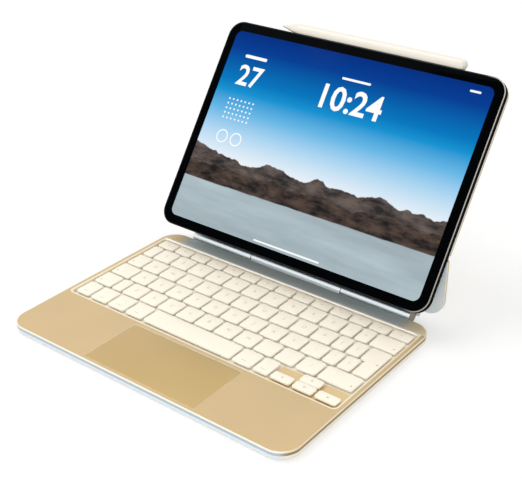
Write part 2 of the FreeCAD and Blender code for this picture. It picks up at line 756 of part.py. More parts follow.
def magnet_places():
    last = TABLET_HALF - MAGNET_FROM_SIDE
    step = 2 * last / (MAGNET_COLUMNS - 1)
    columns = [index * step - last for index in range(MAGNET_COLUMNS)]
    rows = [FOLD_Z + MAGNET_ROW_LOW + index * MAGNET_ROW_STEP for index in range(MAGNET_ROWS)]
    return [(x, z) for x in columns for z in rows]


def magnet_block(x, z, spread, y_range):
    x_range = (x - MAGNET_LENGTH / 2, x + MAGNET_LENGTH / 2)
    z_range = (z - MAGNET_WIDTH / 2, z + MAGNET_WIDTH / 2)
    return block(widened(spread, x_range), y_range, widened(spread, z_range))


def build_magnets():
    y_range = (CORE_FRONT, CORE_FRONT + MAGNET_THICKNESS)
    return [magnet_block(x, z, 0, y_range) for x, z in magnet_places()]


def contact_opening(spread, low, high):
    half_width = CONTACT_BLOCK_WIDTH / 2 + spread
    half_height = CONTACT_BLOCK_HEIGHT / 2 + spread
    return block((-half_width, half_width), (low, high), (CONTACT_Z - half_height, CONTACT_Z + half_height))


def contact_places():
    return [(index - (CONTACTS - 1) / 2) * CONTACT_STEP for index in range(CONTACTS)]


def build_contact_block():
    """The insulating carrier of the contacts, a little behind the panel's face."""
    return contact_opening(0, COVER_INNER + CONTACT_RECESS, CORE_BACK)


def build_contact_pins():
    """Sprung contacts on the carrier that stand a little proud of the panel, towards the tablet's back."""
    ends = (COVER_INNER - CONTACT_PROUD, COVER_INNER + CONTACT_RECESS)
    return [button_disc(CONTACT_R, x, CONTACT_Z, *ends) for x in contact_places()]


def build_upper_panel():
    inner, outer, core = skins_and_core(upper_outline, FOLD_Z + FOLD_EDGE)
    window = camera_window(CAMERA_CLEAR, COVER_INNER, COVER_OUTER)
    inner = inner.cut([window, contact_opening(CONTACT_FIT, COVER_INNER, COVER_OUTER)])
    outer = outer.cut(window)
    core = core.cut([window, contact_opening(CONTACT_FIT, COVER_INNER, COVER_OUTER)])
    core = core.cut([magnet_block(x, z, MAGNET_FIT, (CORE_FRONT, CORE_BACK)) for x, z in magnet_places()])
    return inner, outer, notched_core(core, "upper", 1)


# Tablet, built upright and then leaned back

def tablet_plate(inset, low, high):
    x_range = widened(-inset, (-TABLET_HALF, TABLET_HALF))
    z_range = widened(-inset, (TABLET_LOW, TABLET_HIGH))
    return rounded_plate(x_range, z_range, TABLET_CORNER - inset, low, high, "y")


def button_y():
    return (TABLET_MID_Y - BUTTON_WIDTH / 2, TABLET_MID_Y + BUTTON_WIDTH / 2)


def power_button(spread, low, high):
    """The power button on the tablet's left edge, between two distances out from that edge."""
    z = TABLET_HIGH - POWER_FROM_TOP
    z_range = (z - BUTTON_LENGTH / 2, z + BUTTON_LENGTH / 2)
    x_range = (-TABLET_HALF - high, -TABLET_HALF - low)
    return block(x_range, widened(spread, button_y()), widened(spread, z_range))


def volume_button(index, spread, low, high):
    """A volume button on the tablet's top edge, between two distances out from that edge."""
    x = -TABLET_HALF + VOLUME_FROM_SIDE + (index - 0.5) * VOLUME_STEP
    x_range = (x - BUTTON_LENGTH / 2, x + BUTTON_LENGTH / 2)
    z_range = (TABLET_HIGH + low, TABLET_HIGH + high)
    return block(widened(spread, x_range), widened(spread, button_y()), z_range)


def button_pocket():
    """How deep the buttons' pockets go: the button, its travel and a gap behind it."""
    return -(BUTTON_DEPTH - BUTTON_PROUD + BUTTON_TRAVEL + BUTTON_GAP)


def build_tablet_shell():
    """The tablet's metal body: a tray with a ledge for the glass, pockets for the buttons and a socket."""
    front = TABLET_FRONT_Y + GLASS_PROUD
    shell = tablet_plate(0, front, TABLET_BACK_Y)
    shell = shell.cut(tablet_plate(GLASS_LIP, front, GLASS_BACK))
    shell = shell.cut(tablet_plate(TABLET_WALL, GLASS_BACK, TABLET_INSIDE_BACK))
    shell = shell.cut(power_button(BUTTON_GAP, button_pocket(), 0))
    for index in (0, 1):
        shell = shell.cut(volume_button(index, BUTTON_GAP, button_pocket(), 0))
    middle_z = (TABLET_LOW + TABLET_HIGH) / 2
    socket_y = (TABLET_MID_Y - PORT_HEIGHT / 2, TABLET_MID_Y + PORT_HEIGHT / 2)
    socket_z = (middle_z - PORT_WIDTH / 2, middle_z + PORT_WIDTH / 2)
    socket_x = (TABLET_HALF - TABLET_WALL, TABLET_HALF)
    shell = shell.cut(plate(rectangle(*socket_y, *socket_z), [SLOT_ROUND * PORT_HEIGHT] * 4, *socket_x, "x"))
    return shell


def build_batteries():
    middle_z = (TABLET_LOW + TABLET_HIGH) / 2
    z_range = (middle_z - BATTERY_HEIGHT / 2, middle_z + BATTERY_HEIGHT / 2)
    y_range = (TABLET_INSIDE_BACK - BATTERY, TABLET_INSIDE_BACK)
    right = block((BATTERY_GAP / 2, BATTERY_GAP / 2 + BATTERY_WIDTH), y_range, z_range)
    return [mirrored(right), right]


def build_camera_lens():
    low = TABLET_BACK_Y + CAMERA_RISE
    return button_disc(LENS_R, CAMERA_X, CAMERA_Z, low, low + LENS_RISE)


# Stylus

def turned(profile):
    """A piece turned on the stylus's axis, from (x, radius) points of its profile."""
    points = [FreeCAD.Vector(x, TABLET_MID_Y, STYLUS_Z + radius) for x, radius in profile]
    ends = [FreeCAD.Vector(x, TABLET_MID_Y, STYLUS_Z) for x in (profile[-1][0], profile[0][0])]
    face = Part.Face(Part.makePolygon(points + ends + points[:1]))
    return face.revolve(ends[1], X_RIGHT, 360)


def build_stylus_barrel():
    """A round barrel with a cone, a rounded end and one flat, which lies on the tablet's top edge."""
    neck = STYLUS_TIP_END + CONE_LENGTH
    profile = [(STYLUS_TIP_END + TIP_LENGTH, TIP_R), (neck, STYLUS_R - STYLUS_FLAT), (neck, STYLUS_R)]
    for step in range(STYLUS_END_FACETS + 1):
        angle = math.pi / 2 * step / (STYLUS_END_FACETS + 0.5)
        x = STYLUS_END - STYLUS_END_ROUND * (1 - math.sin(angle))
        profile.append((x, STYLUS_R - STYLUS_END_ROUND * (1 - math.cos(angle))))
    barrel = turned(profile)
    flat_y = (TABLET_MID_Y - STYLUS_R, TABLET_MID_Y + STYLUS_R)
    flat_z = STYLUS_Z - STYLUS_R + STYLUS_FLAT
    return barrel.cut(block((neck, STYLUS_END), flat_y, (flat_z - STYLUS_FLAT, flat_z)))


def build_stylus_tip():
    """The nib: a short blunt cone that carries on the barrel's cone."""
    return turned([(STYLUS_TIP_END, TIP_NOSE_R), (STYLUS_TIP_END + TIP_LENGTH, TIP_R)])


def build_parts():
    """Every node's shape, by name."""
    caps, middles = build_keys()
    well_x, well_y = well_opening()
    parts = {
        "bottom_shell": build_bottom_shell(),
        "deck_plate": build_deck_plate(),
        "well_tray": pan(well_x, well_y, WELL_CORNER, CIRCUIT_TOP, WELL_FLOOR, DECK_UNDER, TRAY_WALL),
        "key_circuit": block(well_x, well_y, (STIFFENER_TOP, CIRCUIT_TOP)),
        "stiffener_plate": block(well_x, well_y, (STIFFENER_UNDER, STIFFENER_TOP)),
        "key_domes": group(build_domes(middles)),
        "trackpad_pan": build_trackpad_pan(),
        "trackpad_springs": group(build_pad_springs()),
        "click_switch": build_click_switch(),
        "logic_board": build_logic_board(),
        "ribbon_cable": build_ribbon_cable(),
        "centre_knuckle": build_centre_knuckle(),
        "trackpad_plate": build_trackpad(),
        "hinge_pin": build_hinge_pin(),
        "friction_drums": group(build_friction_drums()),
        "outer_knuckles": group([mirrored(build_right_knuckle()), build_right_knuckle()]),
        "barrel_end_caps": group(build_end_caps()),
        "charge_port": build_charge_port(),
        "fold_pin": build_fold_pin(),
    }
    for node, shapes in caps.items():
        parts[node] = group(shapes) if len(shapes) > 1 else shapes[0]
    inner, outer, core = skins_and_core(lower_outline, FOLD_Z - FOLD_EDGE)
    parts["lower_inner_skin"] = inner
    parts["lower_outer_skin"] = outer
    parts["lower_core"] = notched_core(core, "lower", -1)
    parts["lower_fold_knuckles"] = group(fold_knuckles("lower", -1))
    inner, outer, core = build_upper_panel()
    upright = {
        "upper_inner_skin": inner,
        "upper_outer_skin": outer,
        "upper_core": core,
        "upper_fold_knuckles": group(fold_knuckles("upper", 1)),
        "magnets": group(build_magnets()),
        "contact_block": build_contact_block(),
        "contact_pins": group(build_contact_pins()),
        "tablet_shell": build_tablet_shell(),
        "cover_glass": tablet_plate(GLASS_LIP + GLASS_FIT, TABLET_FRONT_Y, GLASS_BACK),
        "display_panel": tablet_plate(DISPLAY_MARGIN, GLASS_BACK, DISPLAY_BACK),
        "batteries": group(build_batteries()),
        "camera_housing": camera_window(0, TABLET_BACK_Y, TABLET_BACK_Y + CAMERA_RISE),
        "camera_lens": build_camera_lens(),
        "power_button": power_button(0, BUTTON_PROUD - BUTTON_DEPTH, BUTTON_PROUD),
        "volume_up_button": volume_button(0, 0, BUTTON_PROUD - BUTTON_DEPTH, BUTTON_PROUD),
        "volume_down_button": volume_button(1, 0, BUTTON_PROUD - BUTTON_DEPTH, BUTTON_PROUD),
        "stylus_barrel": build_stylus_barrel(),
        "stylus_tip": build_stylus_tip(),
    }
    for node, shape in upright.items():
        parts[node] = leaned(shape)
    return parts


def main():
    os.makedirs("parts", exist_ok=True)
    for node, shape in build_parts().items():
        shape.exportStep(f"parts/{node}.step")


main()
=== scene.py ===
"""Looks of a folding keyboard case for a tablet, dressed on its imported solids."""

import json
import math

import bpy
import numpy as np
from mathutils import Matrix, Vector


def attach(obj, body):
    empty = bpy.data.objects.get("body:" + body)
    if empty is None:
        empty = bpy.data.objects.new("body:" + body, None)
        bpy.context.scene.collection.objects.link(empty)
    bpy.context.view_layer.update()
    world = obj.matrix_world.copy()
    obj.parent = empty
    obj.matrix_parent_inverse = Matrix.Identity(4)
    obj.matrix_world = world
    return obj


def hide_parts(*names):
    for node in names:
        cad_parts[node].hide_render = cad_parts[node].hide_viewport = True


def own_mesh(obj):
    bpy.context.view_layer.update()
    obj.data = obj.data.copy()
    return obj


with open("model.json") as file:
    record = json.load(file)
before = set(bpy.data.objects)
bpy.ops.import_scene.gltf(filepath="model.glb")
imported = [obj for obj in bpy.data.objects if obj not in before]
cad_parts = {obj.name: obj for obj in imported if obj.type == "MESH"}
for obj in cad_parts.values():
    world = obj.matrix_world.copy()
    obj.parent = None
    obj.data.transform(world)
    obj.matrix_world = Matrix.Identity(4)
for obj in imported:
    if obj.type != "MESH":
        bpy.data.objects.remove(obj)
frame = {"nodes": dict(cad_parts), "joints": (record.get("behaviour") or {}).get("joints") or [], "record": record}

bl_info = {
    "name": "Tablet keyboard case",
    "version": (1, 0, 0),
    "blender": (4, 5, 0),
    "location": "View3D > Sidebar > Keyboard case",
    "description": "Dresses the solids of a folding keyboard case with its finishes, legends and screen",
    "category": "Object",
}

MM = 0.001
NODES = frame["nodes"]
JOINTS = {joint["name"]: joint for joint in frame["joints"]}
SLOTS = {part["node"]: part["material_slot"] for part in frame["record"]["subparts"]}
BODIES = frame["record"]["behaviour"]["bodies"]
BODY_OF = {node: body for body, members in BODIES.items() for node in members}
KEY_NODES = [node for node in NODES if SLOTS[node] == "keycap"]

# Axes of the pieces, as rows: two across and one along or outwards
UPRIGHT = np.eye(3)
SCREEN_OUT = np.array(JOINTS["tablet_undock"]["axis"], float)
SCREEN_UP = -np.array(JOINTS["stylus_lift"]["axis"], float)
SCREEN = np.array([(1.0, 0.0, 0.0), SCREEN_UP, SCREEN_OUT])
ALONG_BARREL = np.array([(0.0, 1.0, 0.0), (0.0, 0.0, 1.0), (1.0, 0.0, 0.0)])
ALONG_STYLUS = np.array([SCREEN_UP, SCREEN_OUT, (1.0, 0.0, 0.0)])

# The photograph's view
IMAGE_WIDTH = 522
FOCAL_PIXELS = 1034.63
SENSOR_MM = 36.0
VIEW_SHIFT_PIXELS = (-2.47, -2.51)
VIEW_AZIMUTH = 37.32
VIEW_ELEVATION = 27.65
VIEW_ROLL = -0.2
VIEW_TARGET_MM = (2.89, 47.68, 60.0)
VIEW_DISTANCE_MM = 755.64

# Lamps: place and width in metres, and power in watts
LAMPS = {
    "key_lamp": ((-0.9, -0.3, 1.9), 1.4, 18.0),
    "front_lamp": ((0.9, -1.6, 0.7), 1.0, 9.0),
    "back_lamp": ((0.2, 1.3, 1.2), 1.2, 6.0),
}
LAMP_TARGET = (0, 0, 0.06)
WHITE = (1.0, 1.0, 1.0, 1.0)

# Rows of legends, from the left; a space leaves a cap bare
LEGENDS = {
    "number_keys": list(" 1234567890-="),
    "upper_letter_keys": list("QWERTYUIOP[]"),
    "home_letter_keys": list("ASDFGHJKL;'\\"),
    "lower_letter_keys": list("`ZXCVBNM,./"),
}
# Small arrows: the angle they point at, and their place from the cap's middle as shares of its half sizes
ARROWS = {
    "left_arrow_key": (180, 0.0, 0.0),
    "up_arrow_key": (90, 0.0, 0.0),
    "down_arrow_key": (270, 0.0, 0.0),
    "right_arrow_key": (0, 0.0, 0.0),
    "backspace_key": (180, 0.72, -0.45),
    "return_key": (180, 0.72, 0.0),
    "tab_key": (0, -0.6, -0.45),
    "caps_key": (90, -0.65, -0.45),
    "left_shift_key": (90, -0.6, -0.45),
    "right_shift_key": (90, 0.78, -0.45),
}
# Short bars: their width in millimetres and their place up the cap as a share of its half depth
BARS = {"function_keys": (2.2, 0.0), "modifier_keys": (4.6, -0.5)}
LEGEND_DEPTH = 0.02 * MM

# Marks on the lit screen, and how thick they are and how high their middle stands on the glass
CLOCK = "10:24"
DAY = "27"
MARK_DEPTH = 0.01 * MM
MARK_RISE = 0.02 * MM
# Bars on the screen: place from its middle as shares of its half sizes, then width and height in mm
SCREEN_BARS = ((0.06, 0.77, 26, 1.8), (0.0, -0.968, 62, 1.3), (0.88, 0.93, 9, 1.6))

# The sky's colours, by height on the screen
SKY = (
    (0.34, "#EFF4F9"),
    (0.48, "#B1D8F2"),
    (0.59, "#69B8E6"),
    (0.69, "#1692D1"),
    (0.75, "#0477BE"),
    (0.91, "#033E94"),
    (1.00, "#023083"),
)
# Layers before the sky: the edge's level, height, peaks and phase, then the shade's stretch, dark and light
LAND = (
    (0.37, 0.07, 5.0, 3.1, (11.0, 20.0, 1.0), "#2E2B2C", "#6B5F59"),
    (0.30, 0.05, 7.0, 8.4, (15.0, 26.0, 1.0), "#211F20", "#574840"),
    (0.215, 0.004, 9.0, 1.7, (1.4, 7.0, 1.0), "#9EAEB4", "#B4C4CB"),
)


def linear(code):
    """An sRGB hex colour as linear red, green and blue."""
    parts = np.array([int(code[i : i + 2], 16) / 255 for i in (1, 3, 5)])
    values = np.where(parts <= 0.04045, parts / 12.92, ((parts + 0.055) / 1.055) ** 2.4)
    return tuple(float(v) for v in values)


# Sizes and colours that a user would change

def size_property(name, text, millimetres):
    """A length with its name, its description and its default in millimetres."""
    return bpy.props.FloatProperty(name=name, description=text, default=millimetres * MM, unit="LENGTH")


def colour_property(name, text, code):
    """A colour with its name, its description and its default as an sRGB hex value."""
    return bpy.props.FloatVectorProperty(name=name, description=text, default=linear(code), subtype="COLOR")


class CaseSizes(bpy.types.PropertyGroup):
    """Sizes of the details that the solids leave to the looks."""

    base_corner: size_property("Base corner", "Corner radius of the base", 15)
    shell_edge: size_property("Shell edge", "Rounding of the shell's lower edge", 1.6)
    well_corner: size_property("Well corner", "Corner radius of the key well", 3.5)
    key_corner: size_property("Key corner", "Corner radius of a keycap", 1.8)
    key_edge: size_property("Key edge", "Rounding of a keycap's top edge", 0.35)
    legend_height: size_property("Legend height", "Size of the letters on the keys", 4.6)
    trackpad_corner: size_property("Trackpad corner", "Corner radius of the trackpad's glass", 2.5)
    glass_corner: size_property("Glass corner", "Corner radius of the tablet's glass", 11.6)
    display_width: size_property("Display width", "Width of the lit part of the screen", 233.6)
    display_height: size_property("Display height", "Height of the lit part of the screen", 161.6)
    display_corner: size_property("Display corner", "Corner radius of the lit part", 5.5)


class CaseColours(bpy.types.PropertyGroup):
    """Colours of the finishes that show most."""

    deck: colour_property("Deck", "Anodised deck", "#D0B486")
    trackpad: colour_property("Trackpad", "Etched trackpad glass", "#C3A66E")
    keycap: colour_property("Keycaps", "Moulded keycaps", "#FBF1DE")
    legend: colour_property("Legends", "Printed letters", "#C9C2B3")
    shell: colour_property("Shell", "Coat of the base's shell", "#E1E6EA")
    cover: colour_property("Cover", "Coat of the cover's panels", "#E8E2D6")
    lining: colour_property("Lining", "Coat of the panels' inner faces", "#E0E8EC")
    barrel: colour_property("Barrel", "Satin hinge barrel", "#EAF2F6")
    tablet: colour_property("Tablet", "Anodised tablet body", "#2C2D30")
    stylus: colour_property("Stylus", "Stylus barrel", "#E7E1D5")


def sizes():
    """The sizes as they are set in the scene."""
    return bpy.context.scene.case_sizes


def colours():
    """The colours as they are set in the scene."""
    return bpy.context.scene.case_colours


# Shapes

def mesh_points(mesh):
    """A mesh's points, one in each row."""
    points = np.empty(len(mesh.vertices) * 3, np.float32)
    mesh.vertices.foreach_get("co", points)
    return points.reshape(-1, 3)


def span(node, axes=UPRIGHT):
    """Lowest and highest values of a node's points along three axes, at rest."""
    along = mesh_points(NODES[node].data).astype(float) @ axes.T
    return along.min(0), along.max(0)


def loose_boxes(node):
    """Lowest and highest corner of each separate solid in a node, ordered from the left.

    Every point starts with its own number. Each triangle gives its points the least of their three
    numbers, over and over, until nothing changes, so that each solid ends with one number.
    """
    mesh = NODES[node].data
    mesh.calc_loop_triangles()
    triangles = np.empty(len(mesh.loop_triangles) * 3, np.int32)
    mesh.loop_triangles.foreach_get("vertices", triangles)
    places, same = np.unique(np.round(mesh_points(mesh), 6), axis=0, return_inverse=True)
    triangles = same.reshape(-1)[triangles].reshape(-1, 3)
    number = np.arange(len(places))
    while True:
        least = number.copy()
        np.minimum.at(least, triangles, number[triangles].min(1)[:, None])
        if np.array_equal(least, number):
            break
        number = least
    boxes = [(places[number == n].min(0), places[number == n].max(0)) for n in np.unique(number)]
    return sorted(boxes, key=lambda box: box[0][0])


def rectangle(low, high):
    """The four corners of a rectangle, from two opposite ones."""
    return [(low[0], low[1]), (high[0], low[1]), (high[0], high[1]), (low[0], high[1])]


def outline(corners, radii, inset, steps):
    """A right-angled outline, moved in by an inset, with round corners.

    At a corner c with unit edges a ahead and b behind, the arc is c + r(a + b) - q(a cos t + b sin t)
    for t from 0 to a quarter turn. q is r less the inset at an outer corner, and r plus it at an inner one.
    """
    c = np.asarray(corners, float)
    ahead = np.roll(c, -1, axis=0) - c
    back = np.roll(c, 1, axis=0) - c
    ahead /= np.linalg.norm(ahead, axis=1, keepdims=True)
    back /= np.linalg.norm(back, axis=1, keepdims=True)
    turn = np.sign(back[:, 1] * ahead[:, 0] - back[:, 0] * ahead[:, 1])
    r = np.asarray(radii, float)
    t = np.linspace(0, math.pi / 2, steps + 1)
    arc = ahead[:, None] * np.cos(t)[None, :, None] + back[:, None] * np.sin(t)[None, :, None]
    centre = c + r[:, None] * (ahead + back)
    q = r - turn * inset
    return (centre[:, None] - q[:, None, None] * arc).reshape(-1, 2)


def slab(corners, radii, profile, axes=UPRIGHT, steps=5):
    """A solid whose outline changes with height: one ring for each (inset, height) of the profile."""
    rings = []
    for inset, height in profile:
        flat = outline(corners, radii, inset, steps)
        rings.append(np.column_stack([flat, np.full(len(flat), height)]))
    return ring_solid(np.array(rings) @ axes)


def turned(profile, centre, axes, steps=48, flat=None, looped=False):
    """A solid of revolution: a ring of radius r at each (distance, r) of the profile, which may be a loop.

    With a flat, the ring's radius at angle t is the least of r and flat / -cos t, where that is positive.
    """
    t = np.linspace(0, 2 * math.pi, steps, endpoint=False)
    along = np.repeat(np.array([p[0] for p in profile])[:, None], steps, axis=1)
    radius = np.repeat(np.array([p[1] for p in profile])[:, None], steps, axis=1)
    if flat is not None:
        side = np.maximum(-np.cos(t), 1e-6)
        radius = np.minimum(radius, flat / side)
    local = np.stack([radius * np.cos(t), radius * np.sin(t), along], axis=-1)
    return ring_solid((local + np.asarray(centre)) @ axes, looped)


def ring_solid(rings, looped=False):
    """Points and faces of a closed solid through a stack of rings.

    The first and the last ring get a flat face, or are joined to each other where the stack is looped.
    """
    count, around = rings.shape[:2]
    index = np.arange(count * around).reshape(count, around)
    stack = np.concatenate([index, index[:1]]) if looped else index
    following = np.roll(stack, -1, axis=1)
    quads = np.stack([stack[:-1], following[:-1], following[1:], stack[1:]], axis=-1).reshape(-1, 4)
    faces = quads.tolist()
    if not looped:
        faces.append(index[0][::-1].tolist())
        faces.append(index[-1].tolist())
    return rings.reshape(-1, 3), faces


def quarter_round(radius, low, steps=4):
    """A profile's rounded lower edge: (inset, height) on a quarter circle.

    inset = r(1 - sin t) and height = low + r(1 - cos t), for t from 0 to a quarter turn.
    """
    t = np.linspace(0, math.pi / 2, steps + 1)
    return [(radius * (1 - math.sin(a)), low + radius * (1 - math.cos(a))) for a in t]


def rounded_edges(low, high, low_radius, high_radius, steps=4):
    """A slab's profile from low to high with both edges rounded."""
    below = quarter_round(low_radius, low, steps)
    above = [(inset, high - (height - low)) for inset, height in quarter_round(high_radius, low, steps)]
    return below + above[::-1]


def joined(solids):
    """Several solids as one list of points and one list of faces."""
    points = []
    faces = []
    start = 0
    for solid_points, solid_faces in solids:
        points.append(solid_points)
        faces += [[start + corner for corner in face] for face in solid_faces]
        start += len(solid_points)
    return np.concatenate(points), faces


def lettering(text, height, depth, weight=0.0):
    """Points and faces of upright letters about the origin, in the plane of the first two axes.

    weight is how far their strokes are thickened on each side.
    """
    curve = bpy.data.curves.new("lettering", "FONT")
    curve.body = text
    curve.size = height
    curve.offset = weight
    curve.align_x = "CENTER"
    curve.align_y = "CENTER"
    curve.extrude = depth / 2
    curve.resolution_u = 3
    written = bpy.data.objects.new("lettering", curve)
    mesh = bpy.data.meshes.new_from_object(written)
    points = mesh_points(mesh).astype(float)
    faces = [list(face.vertices) for face in mesh.polygons]
    bpy.data.objects.remove(written)
    bpy.data.curves.remove(curve)
    bpy.data.meshes.remove(mesh)
    return points, faces


def piece(name, solid, material, node, replaced=(), face_map=None):
    """Make an object of a solid, finish it, and let it ride on the body of a node."""
    sharp_degrees = 35
    points, faces = solid
    mesh = bpy.data.meshes.new(name)
    mesh.from_pydata(points.tolist(), [], faces)
    mesh.polygons.foreach_set("use_smooth", np.ones(len(mesh.polygons), bool))
    mesh.set_sharp_from_angle(angle=math.radians(sharp_degrees))
    if face_map is not None:
        corners = np.empty(len(mesh.loops), np.int32)
        mesh.loops.foreach_get("vertex_index", corners)
        layer = mesh.uv_layers.new(name="face")
        layer.data.foreach_set("uv", face_map(points)[corners].astype(np.float32).ravel())
    mesh.materials.append(material)
    mesh.validate()
    made = bpy.data.objects.new(name, mesh)
    bpy.context.scene.collection.objects.link(made)
    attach(made, BODY_OF[node])
    if replaced:
        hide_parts(*replaced)
    return made


# Materials

def add(tree, kind, settings=None, inputs=None, stops=None):
    """Add a node with its settings.

    An input is a value, or a socket to link from. Stops fill a colour ramp.
    """
    node = tree.nodes.new(kind)
    for name, value in (settings or {}).items():
        setattr(node, name, value)
    for name, value in (inputs or {}).items():
        socket = node.inputs[name]
        if isinstance(value, bpy.types.NodeSocket):
            tree.links.new(value, socket)
        else:
            socket.default_value = value
    if stops:
        elements = node.color_ramp.elements
        while len(elements) < len(stops):
            elements.new(0.5)
        for element, (position, colour) in zip(elements, stops):
            element.position = position
            element.color = (*colour, 1.0)
    return node


def blank_material(name):
    """A material with no nodes yet."""
    made = bpy.data.materials.new(name)
    made.use_nodes = True
    made.node_tree.nodes.clear()
    return made


def painted(tree, under, colour, *bands):
    """A colour, given as a hex value or a socket, laid over another where every band is on.

    A band is a socket with the values at which it is off and on, and a soft step runs between them.
    The steps are multiplied.
    """
    soft = {"interpolation_type": "SMOOTHSTEP"}
    mask = None
    for value, off, on in bands:
        reach = {"Value": value, "From Min": off, "From Max": on}
        step = add(tree, "ShaderNodeMapRange", soft, reach).outputs["Result"]
        if mask is None:
            mask = step
        else:
            mask = add(tree, "ShaderNodeMath", {"operation": "MULTIPLY"}, {0: mask, 1: step}).outputs[0]
    if isinstance(colour, str):
        colour = (*linear(colour), 1)
    return add(tree, "ShaderNodeMix", {"data_type": "RGBA"}, {0: mask, 6: under, 7: colour}).outputs[2]


def place_axes(tree):
    """The place of a point on the case, as three sockets in metres."""
    place = add(tree, "ShaderNodeTexCoord").outputs["Object"]
    return add(tree, "ShaderNodeSeparateXYZ", inputs={"Vector": place}).outputs


def face_axes(tree):
    """The way a face looks, as three sockets."""
    face = add(tree, "ShaderNodeNewGeometry").outputs["Normal"]
    return add(tree, "ShaderNodeSeparateXYZ", inputs={"Vector": face}).outputs


def steep(tree, least=0.8, most=0.95):
    """A band that is on where faces stand up and off where they are level.

    It is on where a face's upward share is under least, and off where that is over most.
    """
    return face_axes(tree)["Z"], most, least


def sideways(tree):
    """A band that is on where faces look to the left or right and off where they look forwards or back."""
    slanting = 0.45
    square = 0.85
    aside = add(tree, "ShaderNodeMath", {"operation": "ABSOLUTE"}, {0: face_axes(tree)["X"]}).outputs[0]
    return aside, slanting, square


def outside_round(tree, x, y, node, corner):
    """How far a place lies outside a node's rectangle with round corners, in metres.

    With a = max(|x - middle| - half + corner, 0) on each axis, it is the length of (ax, ay) less the corner.
    """
    low, high = span(node)
    middle = (low + high) / 2
    half = (high - low) / 2
    beyond = []
    for i, place in enumerate((x, y)):
        moved = add(tree, "ShaderNodeMath", {"operation": "SUBTRACT"}, {0: place, 1: middle[i]}).outputs[0]
        aside = add(tree, "ShaderNodeMath", {"operation": "ABSOLUTE"}, {0: moved}).outputs[0]
        values = {0: aside, 1: half[i] - corner}
        past = add(tree, "ShaderNodeMath", {"operation": "SUBTRACT"}, values).outputs[0]
        beyond.append(add(tree, "ShaderNodeMath", {"operation": "MAXIMUM"}, {0: past, 1: 0.0}).outputs[0])
    reach = add(tree, "ShaderNodeCombineXYZ", inputs={"X": beyond[0], "Y": beyond[1]}).outputs["Vector"]
    length = add(tree, "ShaderNodeVectorMath", {"operation": "LENGTH"}, {0: reach}).outputs["Value"]
    return add(tree, "ShaderNodeMath", {"operation": "SUBTRACT"}, {0: length, 1: corner}).outputs[0]


def grained(name, colour, look, shift, patch_mm, grain_mm, depth_mm, paint=None):
    """A finish with faint patches of another shade and a fine grain in its surface.

    look holds the shader's values. shift is how much darker the patches are, patch_mm and grain_mm are the
    widths of the patches and grains, and depth_mm is the grains' depth. paint is a function that lays other
    colours over parts of the surface.
    """
    made = blank_material(name)
    tree = made.node_tree
    place = add(tree, "ShaderNodeTexCoord").outputs["Object"]
    noise = {"Vector": place, "Scale": 1 / (patch_mm * MM), "Detail": 2.0}
    patches = add(tree, "ShaderNodeTexNoise", inputs=noise).outputs["Fac"]
    darker = tuple(c * (1 - shift) for c in colour)
    stops = [(0.3, darker), (0.7, colour)]
    shade = add(tree, "ShaderNodeValToRGB", inputs={"Fac": patches}, stops=stops).outputs["Color"]
    noise = {"Vector": place, "Scale": 1 / (grain_mm * MM), "Detail": 3.0}
    grains = add(tree, "ShaderNodeTexNoise", inputs=noise).outputs["Fac"]
    relief = {"Strength": 0.6, "Distance": depth_mm * MM, "Height": grains}
    surface = add(tree, "ShaderNodeBump", inputs=relief).outputs["Normal"]
    if paint:
        shade = paint(tree, shade)
    body = add(tree, "ShaderNodeBsdfPrincipled", inputs={"Base Color": shade, "Normal": surface, **look})
    add(tree, "ShaderNodeOutputMaterial", inputs={"Surface": body.outputs["BSDF"]})
    return made


FINISHES = {}


def finish(name):
    """The material of a finish, made when it is first asked for."""
    if name not in FINISHES:
        FINISHES[name] = MAKERS[name]()
    return FINISHES[name]


def anodised_deck():
    """Bead-blasted and anodised aluminium: a satin metal with a fine sparkle.

    Its grit is too fine to show, so it is drawn at 0.35 mm.
    """
    look = {"Metallic": 0.25, "Roughness": 0.42}
    grain = {"shift": 0.05, "patch_mm": 45, "grain_mm": 0.35, "depth_mm": 0.012}
    return grained("anodised_aluminium_deck", colours().deck, look, **grain, paint=deck_paint)


